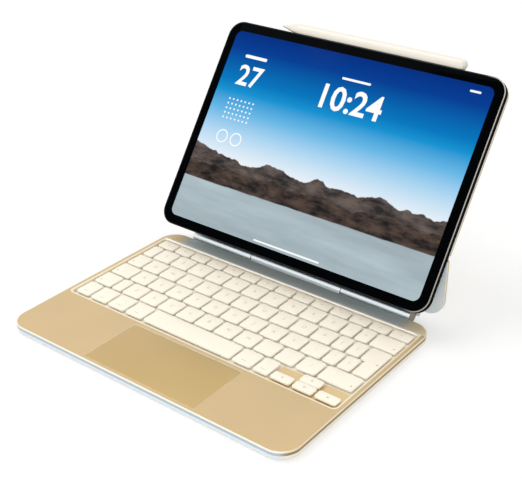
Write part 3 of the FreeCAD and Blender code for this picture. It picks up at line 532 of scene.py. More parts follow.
def deck_paint(tree, colour):
    """Painted light on the deck: highlights, reflections and shade laid into its colour.

    A grey strip in front of the barrel is a painted reflection of the barrel.
    A paler patch at its right end is painted light against the tablet's dark reflection there.
    A pale band before the strip is a painted highlight.
    The edges round the key well and round the deck carry painted highlights:
    pale, or light gold at the deck's sides.
    The lower part of the skirt carries a painted reflection, grey at the front,
    and painted shade, brown at the sides.
    The walls of the trackpad's opening are painted pale, which lifts their shade.
    """
    line = 1.0 * MM
    soft = 0.3 * MM
    x, y, z = place_axes(tree)
    aside = add(tree, "ShaderNodeMath", {"operation": "ABSOLUTE"}, {0: x}).outputs[0]
    well = span("well_tray")[1]
    low, high = span("deck_plate")
    standing = steep(tree)
    to_side = sideways(tree)

    # The strip, a painted reflection of the barrel, and the patch, painted light against the tablet's dark
    # reflection, fade into each other about the barrel's end
    barrel_end = span("outer_knuckles")[1][0]
    fade_off = 9 * MM
    fade_on = 5 * MM
    strip_front = well[1] + 0.7 * MM
    behind = (y, strip_front, strip_front + soft)
    colour = painted(tree, colour, "#EFDDB5", behind, (x, barrel_end - fade_off, barrel_end + fade_on))
    colour = painted(tree, colour, "#C3CCCA", behind, (aside, barrel_end + fade_off, barrel_end - fade_on))

    # A painted highlight on the rim round the key well
    outside = outside_round(tree, x, y, "well_tray", sizes().well_corner)
    colour = painted(tree, colour, "#F1E4C8", (outside, line, line - soft))
    # A painted highlight on the band at the well's rear, which lifts the shade the tablet casts there
    across = (aside, well[0] + line, well[0])
    rear = (y, well[1] - 2 * line, well[1] - line)
    colour = painted(tree, colour, "#FFFBF2", across, rear, (y, strip_front + soft, strip_front))

    # Painted highlights along the deck's outer edge: pale, and light gold at its sides
    rear_edge = high[1] - 4 * MM
    border = ((outside, line, line + soft), (y, rear_edge, rear_edge - line))
    colour = painted(tree, colour, "#F8F1E2", *border, standing)
    colour = painted(tree, colour, "#E3CDA3", *border, standing, to_side)

    # A painted reflection on the skirt's lower part, grey at the front, and painted shade, brown at its sides
    grey_top = low[2] + 0.62 * (high[2] - low[2])
    skirt = (*border, (z, grey_top + soft, grey_top - soft), steep(tree, least=0.15, most=0.45))
    colour = painted(tree, colour, "#AEBFCA", *skirt)
    colour = painted(tree, colour, "#8F7D5C", *skirt, to_side)

    # The walls of the trackpad's opening are painted pale, which lifts the shade in the gap
    beside_pad = outside_round(tree, x, y, "trackpad_plate", sizes().trackpad_corner)
    return painted(tree, colour, "#FFF8EA", (beside_pad, line, line - soft), standing)


def trackpad_glass():
    """Etched glass painted behind: smoother than the deck and a little darker."""
    look = {"Metallic": 0.35, "Roughness": 0.32, "IOR": 1.5}
    grain = {"shift": 0.04, "patch_mm": 60, "grain_mm": 0.5, "depth_mm": 0.004}
    return grained("etched_glass_trackpad", colours().trackpad, look, **grain, paint=trackpad_paint)


def trackpad_paint(tree, colour):
    """Painted light on the glass's edges: paler than its face, which lifts the shade in the gap round it."""
    return painted(tree, colour, "#FFF8EA", steep(tree, least=0.3, most=0.6))


def keycap_plastic():
    """Moulded ABS with a fine spark-eroded texture, drawn at 0.3 mm to show."""
    look = {"Roughness": 0.5, "IOR": 1.53}
    grain = {"shift": 0.03, "patch_mm": 25, "grain_mm": 0.3, "depth_mm": 0.008}
    return grained("moulded_abs_keycap", colours().keycap, look, **grain, paint=keycap_paint)


def keycap_paint(tree, colour):
    """Painted light on a cap's sides: paler than its top, which lifts the shade in the gaps between the keys."""
    return painted(tree, colour, "#FDFAF0", steep(tree, least=0.3, most=0.6))


def legend_ink():
    """Printed pale grey ink, a little rough."""
    look = {"Roughness": 0.6, "IOR": 1.5}
    grain = {"shift": 0.06, "patch_mm": 3, "grain_mm": 0.2, "depth_mm": 0.002}
    return grained("printed_ink_legend", colours().legend, look, **grain)


def shell_coat():
    """Polyurethane coat on moulded plastic: soft and matt, with a leather-fine grain of 0.6 mm."""
    look = {"Roughness": 0.55, "IOR": 1.5, "Sheen Weight": 0.05}
    grain = {"shift": 0.03, "patch_mm": 40, "grain_mm": 0.6, "depth_mm": 0.02}
    return grained("polyurethane_coat_shell", colours().shell, look, **grain, paint=shell_paint)


def shell_paint(tree, colour):
    """Painted light: the shell's sides are creamier than its front, as the light falls on them."""
    return painted(tree, colour, "#F2E8D4", sideways(tree))


def cover_coat():
    """The same coat in a warmer white on the cover's panels."""
    look = {"Roughness": 0.58, "IOR": 1.5, "Sheen Weight": 0.05}
    grain = {"shift": 0.04, "patch_mm": 50, "grain_mm": 0.6, "depth_mm": 0.02}
    return grained("polyurethane_coat_cover", colours().cover, look, **grain, paint=cover_paint)


def cover_paint(tree, colour):
    """Painted light: the panels' sides are painted tan, for the warm light on them."""
    return painted(tree, colour, "#CDB58D", sideways(tree))


def cover_lining():
    """The coat on the panels' inner faces: a cool pale grey, as fine as outside."""
    look = {"Roughness": 0.6, "IOR": 1.5, "Sheen Weight": 0.05}
    grain = {"shift": 0.03, "patch_mm": 50, "grain_mm": 0.6, "depth_mm": 0.02}
    return grained("polyurethane_coat_lining", colours().lining, look, **grain)


def well_film():
    """Printed polyester film under the keys, in a pale cream."""
    look = {"Roughness": 0.5, "IOR": 1.5}
    grain = {"shift": 0.05, "patch_mm": 20, "grain_mm": 0.4, "depth_mm": 0.006}
    return grained("printed_film_well", linear("#F3ECDB"), look, **grain, paint=well_paint)


def well_paint(tree, colour):
    """The deck's gold on the floor by the arrow keys, and a painted highlight on the well's walls."""
    gap = 2.0 * MM
    axes = place_axes(tree)
    left = span("left_arrow_key")[0][0]
    right = span("right_arrow_key")[1][0]
    back = span("up_arrow_key")[1][1]
    by_left = (axes["X"], left - gap, left)
    by_right = (axes["X"], right + 2 * gap, right)
    colour = painted(tree, colour, "#D9BE8C", by_left, by_right, (axes["Y"], back + gap, back))
    # A painted highlight on the well's walls
    return painted(tree, colour, "#F4E9D0", steep(tree))


def barrel_metal():
    """Satin aluminium: a soft cool sheen, with a grain too fine to see, drawn at 0.4 mm."""
    look = {"Metallic": 1.0, "Roughness": 0.28}
    grain = {"shift": 0.03, "patch_mm": 30, "grain_mm": 0.4, "depth_mm": 0.0015}
    return grained("satin_aluminium_barrel", colours().barrel, look, **grain, paint=barrel_paint)


def barrel_paint(tree, colour):
    """Painted shade on the ends of the barrel's lengths, which are darkened."""
    return painted(tree, colour, "#7E7463", sideways(tree))


def tablet_metal():
    """Bead-blasted aluminium, anodised so dark that it stays dark where it is seen at a slant."""
    slant = {"Specular IOR Level": 0.2, "Specular Tint": (0.3, 0.3, 0.3, 1)}
    look = {"Metallic": 0.9, "Roughness": 0.38, **slant}
    grain = {"shift": 0.05, "patch_mm": 40, "grain_mm": 0.35, "depth_mm": 0.01}
    return grained("anodised_aluminium_tablet", colours().tablet, look, **grain, paint=tablet_paint)


def tablet_paint(tree, colour):
    """Painted shade on the sides, nearly black, and a painted highlight round the glass, at the right alone.

    The highlight lies on the body's front rim and the first 0.2 mm behind it. It is full within 6 mm of the right
    side and fades out by 20 mm.
    """
    line = 0.2 * MM
    fade_from = 20 * MM
    fade_to = 6 * MM
    place = add(tree, "ShaderNodeTexCoord").outputs["Object"]
    values = {0: place, 1: tuple(SCREEN_OUT)}
    out = add(tree, "ShaderNodeVectorMath", {"operation": "DOT_PRODUCT"}, values).outputs["Value"]
    far_corner = span("tablet_shell", SCREEN)[1]
    side = far_corner[0]
    front = far_corner[2]
    # Painted shade: the sides nearly black
    colour = painted(tree, colour, "#0B0908", sideways(tree))
    # A painted highlight round the glass, at the right side alone
    right = (place_axes(tree)["X"], side - fade_from, side - fade_to)
    return painted(tree, colour, "#A29E97", (out, front - line, front - line / 2), right)


# Polished glass with a coat against glare, which leaves faint sharp reflections
COATED_GLASS = {"Roughness": 0.06, "IOR": 1.5, "Specular IOR Level": 0.008}


def screen_glass():
    """Polished and coated glass over a black printed border."""
    grain = {"shift": 0.2, "patch_mm": 60, "grain_mm": 8.0, "depth_mm": 0.001}
    return grained("polished_glass_border", linear("#020304"), COATED_GLASS, **grain)


def stylus_plastic():
    """Smooth white moulded plastic with a soft gloss."""
    look = {"Roughness": 0.28, "IOR": 1.5}
    grain = {"shift": 0.02, "patch_mm": 30, "grain_mm": 0.8, "depth_mm": 0.002}
    return grained("gloss_plastic_stylus", colours().stylus, look, **grain)


def rolled_steel():
    """Rolled sheet steel of the hidden plates and pins."""
    look = {"Metallic": 1.0, "Roughness": 0.4}
    grain = {"shift": 0.08, "patch_mm": 12, "grain_mm": 0.5, "depth_mm": 0.008}
    return grained("rolled_steel", linear("#9FA1A6"), look, **grain)


def plated_magnet():
    """Nickel plate on a magnet."""
    look = {"Metallic": 1.0, "Roughness": 0.3}
    grain = {"shift": 0.06, "patch_mm": 10, "grain_mm": 0.5, "depth_mm": 0.006}
    return grained("nickel_plate", linear("#B5B3AE"), look, **grain)


def plated_contact():
    """Gold plate on the sprung contacts."""
    look = {"Metallic": 1.0, "Roughness": 0.25}
    grain = {"shift": 0.05, "patch_mm": 3, "grain_mm": 0.3, "depth_mm": 0.003}
    return grained("gold_plate", linear("#D8B15A"), look, **grain)


def moulded_silicone():
    """Translucent white silicone of the domes and blocks."""
    look = {"Roughness": 0.6, "IOR": 1.41, "Subsurface Weight": 0.1}
    grain = {"shift": 0.05, "patch_mm": 6, "grain_mm": 0.4, "depth_mm": 0.01}
    return grained("moulded_silicone", linear("#DAD9D3"), look, **grain)


def circuit_board():
    """Green solder mask over copper tracks, which show as darker patches."""
    look = {"Roughness": 0.35, "IOR": 1.55}
    grain = {"shift": 0.3, "patch_mm": 2.5, "grain_mm": 0.4, "depth_mm": 0.02}
    return grained("solder_mask", linear("#1F5A38"), look, **grain)


def flat_cable():
    """Amber polyimide film."""
    look = {"Roughness": 0.35, "IOR": 1.6}
    grain = {"shift": 0.2, "patch_mm": 1.5, "grain_mm": 0.3, "depth_mm": 0.006}
    return grained("polyimide_film", linear("#C27A22"), look, **grain)


def glass_fibre():
    """Laminated glass-fibre board of the panels' cores."""
    look = {"Roughness": 0.65, "IOR": 1.55}
    grain = {"shift": 0.15, "patch_mm": 1.2, "grain_mm": 0.5, "depth_mm": 0.02}
    return grained("glass_fibre_board", linear("#4A4B4A"), look, **grain)


def switch_plastic():
    """Black moulded plastic."""
    look = {"Roughness": 0.45, "IOR": 1.5}
    grain = {"shift": 0.1, "patch_mm": 5, "grain_mm": 0.3, "depth_mm": 0.006}
    return grained("moulded_black_plastic", linear("#1C1C1E"), look, **grain)


def battery_foil():
    """Dark foil pouch with soft creases."""
    look = {"Roughness": 0.4, "Metallic": 0.2}
    grain = {"shift": 0.2, "patch_mm": 9, "grain_mm": 3.0, "depth_mm": 0.06}
    return grained("foil_pouch", linear("#2B2B2E"), look, **grain)


def camera_glass():
    """Dark coated lens glass."""
    look = {"Roughness": 0.06, "IOR": 1.6, "Coat Weight": 0.5}
    grain = {"shift": 0.3, "patch_mm": 4, "grain_mm": 4.0, "depth_mm": 0.001}
    return grained("coated_lens_glass", linear("#14161C"), look, **grain)


def flash_plastic():
    """Clear moulded plastic over a small lamp: pale yellow, broken up by a fine relief."""
    look = {"Roughness": 0.2, "IOR": 1.49}
    grain = {"shift": 0.12, "patch_mm": 0.8, "grain_mm": 0.4, "depth_mm": 0.02}
    return grained("moulded_clear_flash", linear("#EFE3B8"), look, **grain)


def lit(name, picture):
    """A lit layer under coated glass.

    picture is a function that gives the layer's colour, or a socket with it.
    """
    made = blank_material(name)
    tree = made.node_tree
    light = {"Emission Color": picture(tree), "Emission Strength": 1.0}
    dark = (0.001, 0.001, 0.001, 1)
    body = add(tree, "ShaderNodeBsdfPrincipled", inputs={"Base Color": dark, **COATED_GLASS, **light})
    add(tree, "ShaderNodeOutputMaterial", inputs={"Surface": body.outputs["BSDF"]})
    return made


def below_ridge(tree, across, up, level, height, peaks, phase):
    """A band that is on below a rough ridge line and off above it.

    The line's height is level + 2 height (n - 1/2), where n is a noise with about as many peaks as named.
    """
    soft = 0.003
    along = add(tree, "ShaderNodeMath", {"operation": "ADD"}, {0: across, 1: phase}).outputs[0]
    noise = {"W": along, "Scale": peaks, "Detail": 6.0, "Roughness": 0.5}
    rough = add(tree, "ShaderNodeTexNoise", {"noise_dimensions": "1D"}, noise).outputs["Fac"]
    reach = {"Value": rough, "To Min": level - height, "To Max": level + height}
    edge = add(tree, "ShaderNodeMapRange", inputs=reach).outputs["Result"]
    depth = add(tree, "ShaderNodeMath", {"operation": "SUBTRACT"}, {0: edge, 1: up}).outputs[0]
    return depth, -soft, soft


def screen_picture(tree):
    """A plain picture of the maker's own: a clear blue sky, two rough ridges and still water."""
    face = add(tree, "ShaderNodeUVMap", {"uv_map": "face"}).outputs["UV"]
    axes = add(tree, "ShaderNodeSeparateXYZ", inputs={"Vector": face}).outputs
    stops = [(height, linear(code)) for height, code in SKY]
    colour = add(tree, "ShaderNodeValToRGB", inputs={"Fac": axes["Y"]}, stops=stops).outputs["Color"]
    for level, height, peaks, phase, stretch, dark, light in LAND:
        place = add(tree, "ShaderNodeMapping", inputs={"Vector": face, "Scale": stretch}).outputs["Vector"]
        noise = {"Vector": place, "Scale": 1.0, "Detail": 9.0, "Roughness": 0.62}
        shades = add(tree, "ShaderNodeTexNoise", inputs=noise).outputs["Fac"]
        stops = [(0.38, linear(dark)), (0.62, linear(light))]
        shade = add(tree, "ShaderNodeValToRGB", inputs={"Fac": shades}, stops=stops).outputs["Color"]
        ridge = below_ridge(tree, axes["X"], axes["Y"], level, height, peaks, phase)
        colour = painted(tree, colour, shade, ridge)
    return colour


def display_layer():
    """The lit picture under the glass."""
    return lit("lit_display", screen_picture)


def display_mark():
    """The plain white of the clock and the other marks."""
    return lit("lit_mark", lambda tree: WHITE)


MAKERS = {
    "anodised_deck": anodised_deck,
    "base_coating": shell_coat,
    "cover_coating": cover_coat,
    "cover_lining": cover_lining,
    "glass_fibre": glass_fibre,
    "well_film": well_film,
    "keycap": keycap_plastic,
    "legend": legend_ink,
    "trackpad_glass": trackpad_glass,
    "circuit_board": circuit_board,
    "flat_cable": flat_cable,
    "sheet_steel": rolled_steel,
    "silicone": moulded_silicone,
    "switch_plastic": switch_plastic,
    "hinge_aluminium": barrel_metal,
    "magnet": plated_magnet,
    "contact_gold": plated_contact,
    "tablet_aluminium": tablet_metal,
    "screen_glass": screen_glass,
    "display": display_layer,
    "mark": display_mark,
    "battery_foil": battery_foil,
    "camera_glass": camera_glass,
    "flash_plastic": flash_plastic,
    "stylus_plastic": stylus_plastic,
}


def smoothing_group():
    """A node group that merges a solid's loose triangles and shades it smooth, apart from its edges."""
    name = "smooth_between_edges"
    if name in bpy.data.node_groups:
        return bpy.data.node_groups[name]
    merge_within = 0.002 * MM
    edge_degrees = 25
    tree = bpy.data.node_groups.new(name, "GeometryNodeTree")
    for way in ("INPUT", "OUTPUT"):
        tree.interface.new_socket("Geometry", in_out=way, socket_type="NodeSocketGeometry")
    start = add(tree, "NodeGroupInput").outputs[0]
    merging = {"Geometry": start, "Distance": merge_within}
    merged = add(tree, "GeometryNodeMergeByDistance", inputs=merging).outputs[0]
    angle = add(tree, "GeometryNodeInputMeshEdgeAngle").outputs[0]
    test = {"data_type": "FLOAT", "operation": "GREATER_THAN"}
    sharp = add(tree, "FunctionNodeCompare", test, {0: angle, 1: math.radians(edge_degrees)}).outputs[0]
    smooth = add(tree, "GeometryNodeSetShadeSmooth", {"domain": "FACE"}, {"Geometry": merged}).outputs[0]
    edges = {"Geometry": smooth, "Selection": sharp, "Shade Smooth": False}
    edged = add(tree, "GeometryNodeSetShadeSmooth", {"domain": "EDGE"}, edges).outputs[0]
    add(tree, "NodeGroupOutput", inputs={0: edged})
    return tree


def dress(node, edge_mm=0.0, steps=2, look=None):
    """Give a solid that stays a finish, smooth shading and a rounded edge.

    The finish is its slot's, unless another is named. Flat faces are made whole before the edge is rounded.
    """
    flat_degrees = 0.5
    edge_degrees = 50
    solid = NODES[node]
    solid.data.materials.clear()
    solid.data.materials.append(finish(look or SLOTS[node]))
    smoothing = solid.modifiers.new("smooth", "NODES")
    smoothing.node_group = smoothing_group()
    if edge_mm:
        flat = solid.modifiers.new("flat faces", "DECIMATE")
        flat.decimate_type = "DISSOLVE"
        flat.angle_limit = math.radians(flat_degrees)
        edge = solid.modifiers.new("edge", "BEVEL")
        edge.width = edge_mm * MM
        edge.segments = steps
        edge.limit_method = "ANGLE"
        edge.angle_limit = math.radians(edge_degrees)


# Pieces

class CASE_OT_base(bpy.types.Operator):
    """Dress the base: the coated shell, the metal deck and the film in the key well"""

    bl_idname = "case.base"
    bl_label = "Base"

    def execute(self, context):
        low, high = span("deck_plate")
        shell_low, shell_high = span("bottom_shell")
        top = shell_high[2]
        floor = shell_low[2] + 1.2 * MM
        wall = 1.6 * MM
        lip = 0.15 * MM
        profile = quarter_round(sizes().shell_edge, shell_low[2])
        profile += [(0, top - lip), (lip, top), (wall, top), (wall, floor)]
        shell = slab(rectangle(low, high), [sizes().base_corner] * 4, profile, steps=12)
        piece("shell_coat", shell, finish("base_coating"), "bottom_shell", ["bottom_shell"])
        dress("deck_plate", edge_mm=0.12)
        dress("well_tray")
        return {"FINISHED"}


class CASE_OT_keys(bpy.types.Operator):
    """Mould the keycaps and print their legends"""

    bl_idname = "case.keys"
    bl_label = "Keys"

    def execute(self, context):
        for node in KEY_NODES:
            boxes = loose_boxes(node)
            if node == "return_key":
                caps = [self.return_cap(node)]
            else:
                caps = [self.cap(rectangle(low, high), low[2], high[2]) for low, high in boxes]
            piece(f"{node}_caps", joined(caps), finish("keycap"), node, [node])
            marks = self.legends(node, boxes)
            if marks:
                piece(f"{node}_legends", joined(marks), finish("legend"), node)
        return {"FINISHED"}

    def cap(self, corners, low, high):
        """A cap with round corners, a rounded top edge and a slightly rounded foot."""
        foot_edge = 0.1 * MM
        profile = rounded_edges(low, high, foot_edge, sizes().key_edge, 3)
        return slab(corners, [sizes().key_corner] * len(corners), profile, steps=4)

    def return_cap(self, node):
        """The return key's cap: an L whose upper arm starts further left."""
        clear = 0.1 * MM
        low, high = span(node)
        points = mesh_points(NODES[node].data).astype(float)
        middle = (low[1] + high[1]) / 2
        step_x = points[points[:, 1] < middle][:, 0].min()
        left_arm = points[points[:, 0] < step_x - clear]
        step_y = left_arm[:, 1].min()
        corners = [(step_x, low[1]), (high[0], low[1]), (high[0], high[1]), (low[0], high[1])]
        corners += [(low[0], step_y), (step_x, step_y)]
        return self.cap(corners, low[2], high[2])

    def legends(self, node, boxes):
        """The printed marks of a node's caps, which stand half their depth above the tops."""
        marks = []
        if node in ARROWS:
            angle, across, up = ARROWS[node]
            low, high = span(node)
            place = (low + high) / 2 + np.array([across, up, 0.0]) * (high - low) / 2
            marks.append(self.arrow(math.radians(angle), place, high[2]))
        if node in BARS:
            width, up = BARS[node]
            marks += [self.bar(width * MM, up, low, high) for low, high in boxes]
        for text, (low, high) in zip(LEGENDS.get(node, []), boxes):
            if text == " ":
                continue
            points, faces = lettering(text, sizes().legend_height, LEGEND_DEPTH)
            middle = (low + high) / 2
            marks.append((points + np.array([middle[0], middle[1], high[2]]), faces))
        return marks

    def bar(self, width, up, low, high):
        """A short bar with round ends, across a cap."""
        height = 0.5 * MM
        half = np.array([width, height]) / 2
        middle = ((low + high) / 2 + np.array([0.0, up, 0.0]) * (high - low) / 2)[:2]
        profile = [(0, high[2] - LEGEND_DEPTH / 2), (0, high[2] + LEGEND_DEPTH / 2)]
        return slab(rectangle(middle - half, middle + half), [0.48 * height] * 4, profile, steps=2)

    def arrow(self, angle, middle, top):
        """A small triangle that points at an angle."""
        reach = 1.3 * MM
        turns = angle + np.array([0, 2 * math.pi / 3, 4 * math.pi / 3])
        flat = np.column_stack([np.cos(turns), np.sin(turns)]) * reach + middle[:2]
        heights = (top - LEGEND_DEPTH / 2, top + LEGEND_DEPTH / 2)
        return ring_solid(np.array([np.column_stack([flat, np.full(3, height)]) for height in heights]))


class CASE_OT_trackpad(bpy.types.Operator):
    """Grind the trackpad's glass"""

    bl_idname = "case.trackpad"
    bl_label = "Trackpad"

    def execute(self, context):
        lower_edge = 0.15 * MM
        upper_edge = 0.25 * MM
        low, high = span("trackpad_plate")
        profile = rounded_edges(low[2], high[2], lower_edge, upper_edge, 3)
        glass = slab(rectangle(low, high), [sizes().trackpad_corner] * 4, profile, steps=6)
        piece("trackpad_glass", glass, finish("trackpad_glass"), "trackpad_plate", ["trackpad_plate"])
        return {"FINISHED"}


class CASE_OT_barrel(bpy.types.Operator):
    """Turn the lengths of the hinge barrel"""

    bl_idname = "case.barrel"
    bl_label = "Hinge barrel"

    def execute(self, context):
        metal = finish("hinge_aluminium")
        axis = np.array(JOINTS["barrel_hinge"]["pos_m"], float)
        centre = (axis[1], axis[2], 0.0)
        radius = self.radius("outer_knuckles")
        fit = 0.03 * MM
        bore = self.radius("barrel_end_caps") + fit
        foot_inset = 1 * MM
        foot_half = 2.5 * MM
        knuckles = []
        for low, high in loose_boxes("outer_knuckles"):
            knuckles.append(self.length(low[0], high[0], radius, bore, centre))
            foot_low = (low[0] + foot_inset, axis[1] + bore, axis[2] - foot_half)
            foot_high = (high[0] - foot_inset, high[1], axis[2] + foot_half)
            knuckles.append(self.block(foot_low, foot_high))
        piece("barrel_outer_lengths", joined(knuckles), metal, "outer_knuckles", ["outer_knuckles"])
        half = span("centre_knuckle")[1][0]
        deck = span("deck_plate")[1]
        web_foot = 1.2 * MM
        web_reach = axis[1] - 0.6 * radius
        web = self.block((-half, deck[1], web_foot), (half, web_reach, deck[2]))
        pin_bore = self.radius("hinge_pin") + fit
        middle = joined([self.length(-half, half, radius, pin_bore, centre), web])
        piece("barrel_middle_length", middle, metal, "centre_knuckle", ["centre_knuckle"])
        dress("barrel_end_caps", edge_mm=0.15)
        dress("charge_port")
        return {"FINISHED"}

    def radius(self, node):
        """The radius of a round node that lies along the barrel: half its height."""
        low, high = span(node)
        return (high[2] - low[2]) / 2

    def length(self, low, high, radius, bore, centre):
        """A length of the barrel: a tube with the outer edges of its two ends rounded off."""
        edge = 0.35 * MM
        start = [(low + height, radius - inset) for inset, height in quarter_round(edge, 0.0)]
        end = [(high - height, radius - inset) for inset, height in quarter_round(edge, 0.0)]
        profile = [(low, bore)] + start + end[::-1] + [(high, bore)]
        return turned(profile, centre, ALONG_BARREL, steps=64, looped=True)

    def block(self, low, high):
        """A plain block that seats a length of the barrel on the cover or the deck."""
        corner = 0.1 * MM
        return slab(rectangle(low, high), [corner] * 4, [(0, low[2]), (0, high[2])])


class CASE_OT_cover(bpy.types.Operator):
    """Coat the two panels of the cover and dress the fold between them"""

    bl_idname = "case.cover"
    bl_label = "Cover"

    def execute(self, context):
        for node in ("lower_inner_skin", "upper_inner_skin"):
            dress(node, edge_mm=0.25, look="cover_lining")
        for node in ("lower_outer_skin", "upper_outer_skin"):
            dress(node, edge_mm=0.5, steps=3)
        for node in ("lower_fold_knuckles", "upper_fold_knuckles"):
            dress(node, look="cover_coating")
        for node in ("lower_core", "upper_core", "magnets", "contact_block", "contact_pins", "fold_pin"):
            dress(node)
        return {"FINISHED"}


class CASE_OT_tablet(bpy.types.Operator):
    """Dress the docked tablet: its metal body, glass and buttons"""

    bl_idname = "case.tablet"
    bl_label = "Tablet"

    def execute(self, context):
        rear_edge = 0.1 * MM
        front_edge = 0.3 * MM
        dress("tablet_shell", edge_mm=0.3)
        low, high = span("cover_glass", SCREEN)
        profile = rounded_edges(low[2], high[2], rear_edge, front_edge, 3)
        glass = slab(rectangle(low, high), [sizes().glass_corner] * 4, profile, SCREEN, steps=12)
        piece("border_glass", glass, finish("screen_glass"), "cover_glass", ["cover_glass"])
        for node in ("power_button", "volume_up_button", "volume_down_button"):
            dress(node, edge_mm=0.3, steps=3)
        dress("batteries", edge_mm=0.3)
        return {"FINISHED"}


class CASE_OT_camera(bpy.types.Operator):
    """Set the camera's lens, flash and sensor into their housing"""

    bl_idname = "case.camera"
    bl_label = "Camera"

    def execute(self, context):
        dress("camera_housing", edge_mm=0.4, steps=3)
        low, high = span("camera_lens", SCREEN)
        middle = (low + high) / 2
        centre = (middle[0], middle[1], 0.0)
        radius = (high[0] - low[0]) / 2
        rear = low[2]
        front = high[2]
        inner = 0.8 * radius
        rim = self.band(rear, front, inner, radius, centre)
        piece("camera_rim", rim, finish("sheet_steel"), "camera_lens")
        glass_face = rear + 0.2 * MM
        stop_face = glass_face - 0.08 * MM
        iris = 0.6 * inner
        stop_width = 0.5 * MM
        disc = turned([(glass_face, inner), (front, inner)], centre, SCREEN, steps=40)
        stop = self.band(stop_face, front, iris, iris + stop_width, centre)
        piece("camera_glass", joined([disc, stop]), finish("camera_glass"), "camera_lens", ["camera_lens"])
        aside = 1.45 * radius
        windows = (("camera_flash", "flash_plastic", -1), ("camera_sensor", "switch_plastic", 1))
        for name, look, turn in windows:
            button = self.button((middle[0] + turn * aside, middle[1] - aside, 0.0))
            piece(name, button, finish(look), "camera_housing")
        return {"FINISHED"}

    def button(self, centre):
        """A small round window with a cut edge, let into the housing's rear face."""
        face = span("camera_housing", SCREEN)[0][2]
        rise = 0.05 * MM
        sunk = 0.2 * MM
        radius = 2.2 * MM
        cut = 0.2 * MM
        profile = [(face - rise, radius - cut), (face, radius), (face + sunk, radius)]
        return turned(profile, centre, SCREEN, steps=32)

    def band(self, rear, front, inner, outer, centre):
        """A round band with its two rear edges cut off."""
        cut = min(0.15 * MM, (outer - inner) / 4)
        profile = [(rear + cut, inner), (rear, inner + cut), (rear, outer - cut), (rear + cut, outer)]
        profile += [(front, outer), (front, inner)]
        return turned(profile, centre, SCREEN, steps=40, looped=True)


class CASE_OT_screen(bpy.types.Operator):
    """Light the screen with a plain picture, a clock and a few marks"""

    bl_idname = "case.screen"
    bl_label = "Screen"

    def execute(self, context):
        depth = 0.1 * MM
        rise = 0.015 * MM
        low, high = span("cover_glass", SCREEN)
        front = high[2]
        middle = ((low + high) / 2)[:2]
        half = np.array([sizes().display_width, sizes().display_height]) / 2
        corners = rectangle(middle - half, middle + half)
        profile = [(0, front - depth), (0, front + rise)]
        picture = slab(corners, [sizes().display_corner] * 4, profile, SCREEN, steps=8)

        def face_map(points):
            """A point's place on the picture, as shares of its width and height."""
            flat = (points @ SCREEN.T)[:, :2]
            return (flat - (middle - half)) / (2 * half)

        piece("display_picture", picture, finish("display"), "display_panel", ["display_panel"], face_map)
        marks = self.clock(middle, half) + self.dots(middle, half) + self.rings(middle, half)
        lift = np.array([0.0, 0.0, front + MARK_RISE])
        placed = [((points + lift) @ SCREEN, faces) for points, faces in marks]
        piece("display_marks", joined(placed), finish("mark"), "display_panel")
        return {"FINISHED"}

    def moved(self, solid, across, up):
        """A flat mark moved from the origin to a place on the screen."""
        points, faces = solid
        return points + np.array([across, up, 0.0]), faces

    def bar(self, across, up, width, height):
        """A flat bar with round ends."""
        half = np.array([width, height]) / 2
        profile = [(0, -MARK_DEPTH / 2), (0, MARK_DEPTH / 2)]
        return self.moved(slab(rectangle(-half, half), [0.49 * height] * 4, profile, steps=4), across, up)

    def clock(self, middle, half):
        """The hours and minutes in the sky's middle, and bars over them, at the foot and in a corner."""
        place = middle + np.array([0.06, 0.55]) * half
        height = 27 * MM
        weight = 0.5 * MM
        marks = [self.moved(lettering(CLOCK, height, MARK_DEPTH, weight), *place)]
        for right, up, bar_width, bar_height in SCREEN_BARS:
            place = middle + np.array([right, up]) * half
            marks.append(self.bar(*place, bar_width * MM, bar_height * MM))
        return marks

    def dots(self, middle, half):
        """A bar, the figures of a day and a grid of dots in five rows, on the left."""
        left = middle[0] - 0.86 * half[0]
        bar_width = 22 * MM
        bar_height = 2.6 * MM
        across = left + bar_width / 2
        marks = [self.bar(across, middle[1] + 0.76 * half[1], bar_width, bar_height)]
        height = 24 * MM
        weight = 0.4 * MM
        figures = lettering(DAY, height, MARK_DEPTH, weight)
        marks.append(self.moved(figures, across, middle[1] + 0.55 * half[1]))
        radius = 0.8 * MM
        pitch = 4 * MM
        top = middle[1] + 0.30 * half[1]
        disc = turned([(-MARK_DEPTH / 2, radius), (MARK_DEPTH / 2, radius)], (0, 0, 0), UPRIGHT, steps=16)
        rows = 5
        columns = 7
        for row in range(rows):
            for column in range(columns):
                marks.append(self.moved(disc, left + column * pitch, top - row * pitch))
        return marks

    def rings(self, middle, half):
        """Two thin rings under the dots, each a flat band carried round a circle."""
        outer = 5.6 * MM
        inner = 4.6 * MM
        pitch = 14 * MM
        depth = MARK_DEPTH / 2
        profile = [(-depth, inner), (-depth, outer), (depth, outer), (depth, inner)]
        band = turned(profile, (0, 0, 0), UPRIGHT, steps=40, looped=True)
        left = middle[0] - 0.81 * half[0]
        up = middle[1] - 0.09 * half[1]
        return [self.moved(band, left + column * pitch, up) for column in range(2)]


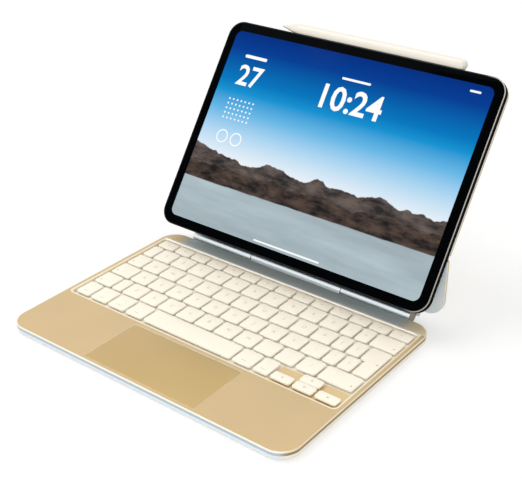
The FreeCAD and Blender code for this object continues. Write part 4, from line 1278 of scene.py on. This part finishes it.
class CASE_OT_stylus(bpy.types.Operator):
    """Turn the stylus that lies on the tablet's top edge"""

    bl_idname = "case.stylus"
    bl_label = "Stylus"

    def execute(self, context):
        low, high = span("stylus_barrel", ALONG_STYLUS)
        tip_low, tip_high = span("stylus_tip", ALONG_STYLUS)
        radius = (high[1] - low[1]) / 2
        nib = (tip_high[1] - tip_low[1]) / 2
        centre = (high[0] - radius, (low[1] + high[1]) / 2, 0.0)
        flat = radius - 0.35 * MM
        profile = self.cone(low[2], nib, radius) + self.dome(high[2], radius)
        barrel = turned(profile, centre, ALONG_STYLUS, flat=flat)
        piece("stylus_body", barrel, finish("stylus_plastic"), "stylus_barrel", ["stylus_barrel"])
        blunt = 0.3 * MM
        tip = [(tip_low[2], 0.45 * nib), (tip_low[2] + blunt, 0.62 * nib), (tip_high[2], nib)]
        nib_solid = turned(tip, centre, ALONG_STYLUS, steps=32)
        piece("stylus_nib", nib_solid, finish("stylus_plastic"), "stylus_tip", ["stylus_tip"])
        return {"FINISHED"}

    def cone(self, start, nib, radius):
        """The barrel's front: its radius grows from the nib's as sin t, for t from 0 to a quarter turn."""
        length = 17 * MM
        share = np.linspace(0, 1, 9)
        return [(start + a * length, nib + (radius - nib) * math.sin(a * math.pi / 2)) for a in share]

    def dome(self, end, radius):
        """The barrel's rear: its radius shrinks as (cos t) to the power 0.8, to a small flat end."""
        length = 3.9 * MM
        fullness = 0.8
        t = np.linspace(0, math.pi / 2, 9)[1:-1]
        curve = [(end - length * (1 - math.sin(a)), radius * math.cos(a) ** fullness) for a in t]
        return [(end - length, radius)] + curve + [(end, 0.35 * radius)]


class CASE_OT_inside(bpy.types.Operator):
    """Finish the pieces inside the base and the hinge"""

    bl_idname = "case.inside"
    bl_label = "Inside"

    def execute(self, context):
        plates = ("key_circuit", "stiffener_plate", "trackpad_pan")
        electrics = ("click_switch", "logic_board", "ribbon_cable")
        hinge = ("hinge_pin", "friction_drums")
        for node in plates + electrics + hinge:
            dress(node)
        return {"FINISHED"}


class CASE_OT_cushions(bpy.types.Operator):
    """Mould the silicone domes under the keys and blocks under the trackpad"""

    bl_idname = "case.cushions"
    bl_label = "Domes and blocks"

    def execute(self, context):
        domes = loose_boxes("key_domes")
        for node in KEY_NODES:
            caps = loose_boxes(node)
            under = [box for box in domes if any(self.covers(cap, box) for cap in caps)]
            shapes = joined([self.dome(low, high) for low, high in under])
            made = piece(f"{node}_domes", shapes, finish("silicone"), "key_domes", ["key_domes"])
            self.give_way(made, node, *under[0])
        blocks = loose_boxes("trackpad_springs")
        shapes = joined([self.block(low, high) for low, high in blocks])
        made = piece("trackpad_blocks", shapes, finish("silicone"), "trackpad_springs", ["trackpad_springs"])
        self.give_way(made, "trackpad_plate", *blocks[0])
        return {"FINISHED"}

    def covers(self, cap, box):
        """Whether the middle of a box lies under a cap."""
        middle = (box[0] + box[1]) / 2
        return bool(np.all(cap[0][:2] < middle[:2]) and np.all(middle[:2] < cap[1][:2]))

    def dome(self, low, high):
        """A round dome: a foot, a skirt that leans in and a small flat top."""
        foot = (high[0] - low[0]) / 2
        rim = 0.15 * MM
        crown = 0.2 * MM
        profile = [(low[2], foot), (low[2] + rim, foot), (low[2] + 2 * rim, 0.86 * foot)]
        profile += [(high[2] - crown, 0.6 * foot), (high[2], 0.52 * foot)]
        middle = (low + high) / 2
        return turned(profile, (middle[0], middle[1], 0.0), UPRIGHT, steps=16)

    def block(self, low, high):
        """A square block with round corners and edges."""
        corner = 0.8 * MM
        edge = 0.15 * MM
        profile = rounded_edges(low[2], high[2], edge, edge, 2)
        return slab(rectangle(low, high), [corner] * 4, profile, steps=3)

    def give_way(self, made, node, low, high):
        """Give a soft piece its own mesh. How far the node above it can come down is worked out, but not used."""
        joint = next(joint for joint in JOINTS.values() if joint["child"] == BODY_OF[node])
        travel = joint["range_m"][1] - joint["range_m"][0]
        clear = 0.02 * MM
        room = span(node)[0][2] - travel - clear - low[2]
        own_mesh(made)


class CASE_OT_stage(bpy.types.Operator):
    """Set the pale floor, the soft light and the camera"""

    bl_idname = "case.stage"
    bl_label = "Stage"

    def execute(self, context):
        self.floor()
        self.light()
        for name, (place, size, power) in LAMPS.items():
            self.lamp(name, place, size, power)
        self.camera()
        context.scene.view_settings.view_transform = "Standard"
        return {"FINISHED"}

    def floor(self):
        """A wide square, a hair under the case."""
        reach = 6.0
        level = -0.05 * MM
        mesh = bpy.data.meshes.new("floor")
        corners = [(x, y, level) for x, y in rectangle((-reach, -reach), (reach, reach))]
        mesh.from_pydata(corners, [], [(0, 1, 2, 3)])
        mesh.materials.append(self.floor_paint())
        made = bpy.data.objects.new("floor", mesh)
        bpy.context.scene.collection.objects.link(made)

    def floor_paint(self):
        """White paint that takes the shadow.

        To the camera and in reflections it is half as bright as it is lit and half plain white, so that it
        runs into the white surround.
        """
        look = {"Roughness": 0.9, "Specular IOR Level": 0.1}
        grain = {"shift": 0.01, "patch_mm": 400, "grain_mm": 4.0, "depth_mm": 0.01}
        plain_share = 0.5
        made = grained("painted_floor", linear("#F7F7F5"), look, **grain)
        tree = made.node_tree
        shown = {0: self.shown_rays(tree), 1: plain_share}
        share = add(tree, "ShaderNodeMath", {"operation": "MULTIPLY"}, shown).outputs[0]
        white = add(tree, "ShaderNodeEmission", inputs={"Color": WHITE, "Strength": 1.0}).outputs["Emission"]
        paint = next(node for node in tree.nodes if node.type == "BSDF_PRINCIPLED").outputs["BSDF"]
        end = next(node for node in tree.nodes if node.type == "OUTPUT_MATERIAL")
        mixed = add(tree, "ShaderNodeMixShader", inputs={0: share, 1: paint, 2: white})
        tree.links.new(mixed.outputs[0], end.inputs["Surface"])
        return made

    def shown_rays(self, tree):
        """1 for the rays that show a background: from the camera, in reflections and through glass."""
        ray = add(tree, "ShaderNodeLightPath").outputs
        most = {"operation": "MAXIMUM"}
        shown = ray["Is Camera Ray"]
        for kind in ("Is Glossy Ray", "Is Transmission Ray"):
            shown = add(tree, "ShaderNodeMath", most, {0: shown, 1: ray[kind]}).outputs[0]
        return shown

    def light(self):
        """A surround that shows plain white and lights the case softly."""
        world = bpy.data.worlds.new("studio")
        world.use_nodes = True
        tree = world.node_tree
        tree.nodes.clear()
        lighting = 0.66
        levels = {"Value": self.shown_rays(tree), "To Min": lighting, "To Max": 1.0}
        level = add(tree, "ShaderNodeMapRange", inputs=levels).outputs["Result"]
        back = add(tree, "ShaderNodeBackground", inputs={"Color": WHITE, "Strength": level})
        add(tree, "ShaderNodeOutputWorld", inputs={"Surface": back.outputs["Background"]})
        bpy.context.scene.world = world

    def lamp(self, name, place, size, power):
        """A square lamp that looks at the middle of the case."""
        lamp = bpy.data.lights.new(name, "AREA")
        lamp.size = size
        lamp.energy = power
        made = bpy.data.objects.new(name, lamp)
        bpy.context.scene.collection.objects.link(made)
        aim = Vector(LAMP_TARGET) - Vector(place)
        made.location = place
        made.rotation_mode = "QUATERNION"
        made.rotation_quaternion = aim.to_track_quat("-Z", "Y")

    def camera(self):
        """The photograph's view, from an azimuth and elevation round a target."""
        view = bpy.data.cameras.new("view")
        view.sensor_fit = "HORIZONTAL"
        view.sensor_width = SENSOR_MM
        view.lens = FOCAL_PIXELS / IMAGE_WIDTH * SENSOR_MM
        view.shift_x = VIEW_SHIFT_PIXELS[0] / IMAGE_WIDTH
        view.shift_y = VIEW_SHIFT_PIXELS[1] / IMAGE_WIDTH
        made = bpy.data.objects.new("view", view)
        bpy.context.scene.collection.objects.link(made)
        azimuth = math.radians(VIEW_AZIMUTH)
        elevation = math.radians(VIEW_ELEVATION)
        level = math.cos(elevation)
        back = Vector((math.sin(azimuth) * level, -math.cos(azimuth) * level, math.sin(elevation)))
        roll = Matrix.Rotation(math.radians(-VIEW_ROLL), 3, "Z")
        turn = (-back).to_track_quat("-Z", "Y").to_matrix() @ roll
        made.matrix_world = turn.to_4x4()
        made.location = Vector(VIEW_TARGET_MM) * MM + back * (VIEW_DISTANCE_MM * MM)
        bpy.context.scene.camera = made


class CASE_PT_sidebar(bpy.types.Panel):
    """The pieces of the case, with their sizes and colours"""

    bl_idname = "CASE_PT_sidebar"
    bl_label = "Keyboard case"
    bl_space_type = "VIEW_3D"
    bl_region_type = "UI"
    bl_category = "Keyboard case"

    def draw(self, context):
        column = self.layout.column()
        for group in (context.scene.case_sizes, context.scene.case_colours):
            for name in group.__annotations__:
                column.prop(group, name)
        for operator in OPERATORS:
            column.operator(operator.bl_idname)


OPERATORS = (
    CASE_OT_base,
    CASE_OT_keys,
    CASE_OT_trackpad,
    CASE_OT_barrel,
    CASE_OT_cover,
    CASE_OT_tablet,
    CASE_OT_camera,
    CASE_OT_screen,
    CASE_OT_stylus,
    CASE_OT_inside,
    CASE_OT_cushions,
    CASE_OT_stage,
)
CLASSES = (CaseSizes, CaseColours, *OPERATORS, CASE_PT_sidebar)


def register():
    """Register the classes and put the sizes and colours into the scene."""
    for item in CLASSES:
        bpy.utils.register_class(item)
    bpy.types.Scene.case_sizes = bpy.props.PointerProperty(type=CaseSizes)
    bpy.types.Scene.case_colours = bpy.props.PointerProperty(type=CaseColours)


def unregister():
    """Take out what register put in."""
    del bpy.types.Scene.case_colours
    del bpy.types.Scene.case_sizes
    for item in reversed(CLASSES):
        bpy.utils.unregister_class(item)


def main():
    """Dress every piece."""
    register()
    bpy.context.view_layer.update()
    bpy.ops.case.base()
    bpy.ops.case.keys()
    bpy.ops.case.trackpad()
    bpy.ops.case.barrel()
    bpy.ops.case.cover()
    bpy.ops.case.tablet()
    bpy.ops.case.camera()
    bpy.ops.case.screen()
    bpy.ops.case.stylus()
    bpy.ops.case.inside()
    bpy.ops.case.cushions()
    bpy.ops.case.stage()
    bpy.context.view_layer.update()


if __name__ == "__main__":
    main()
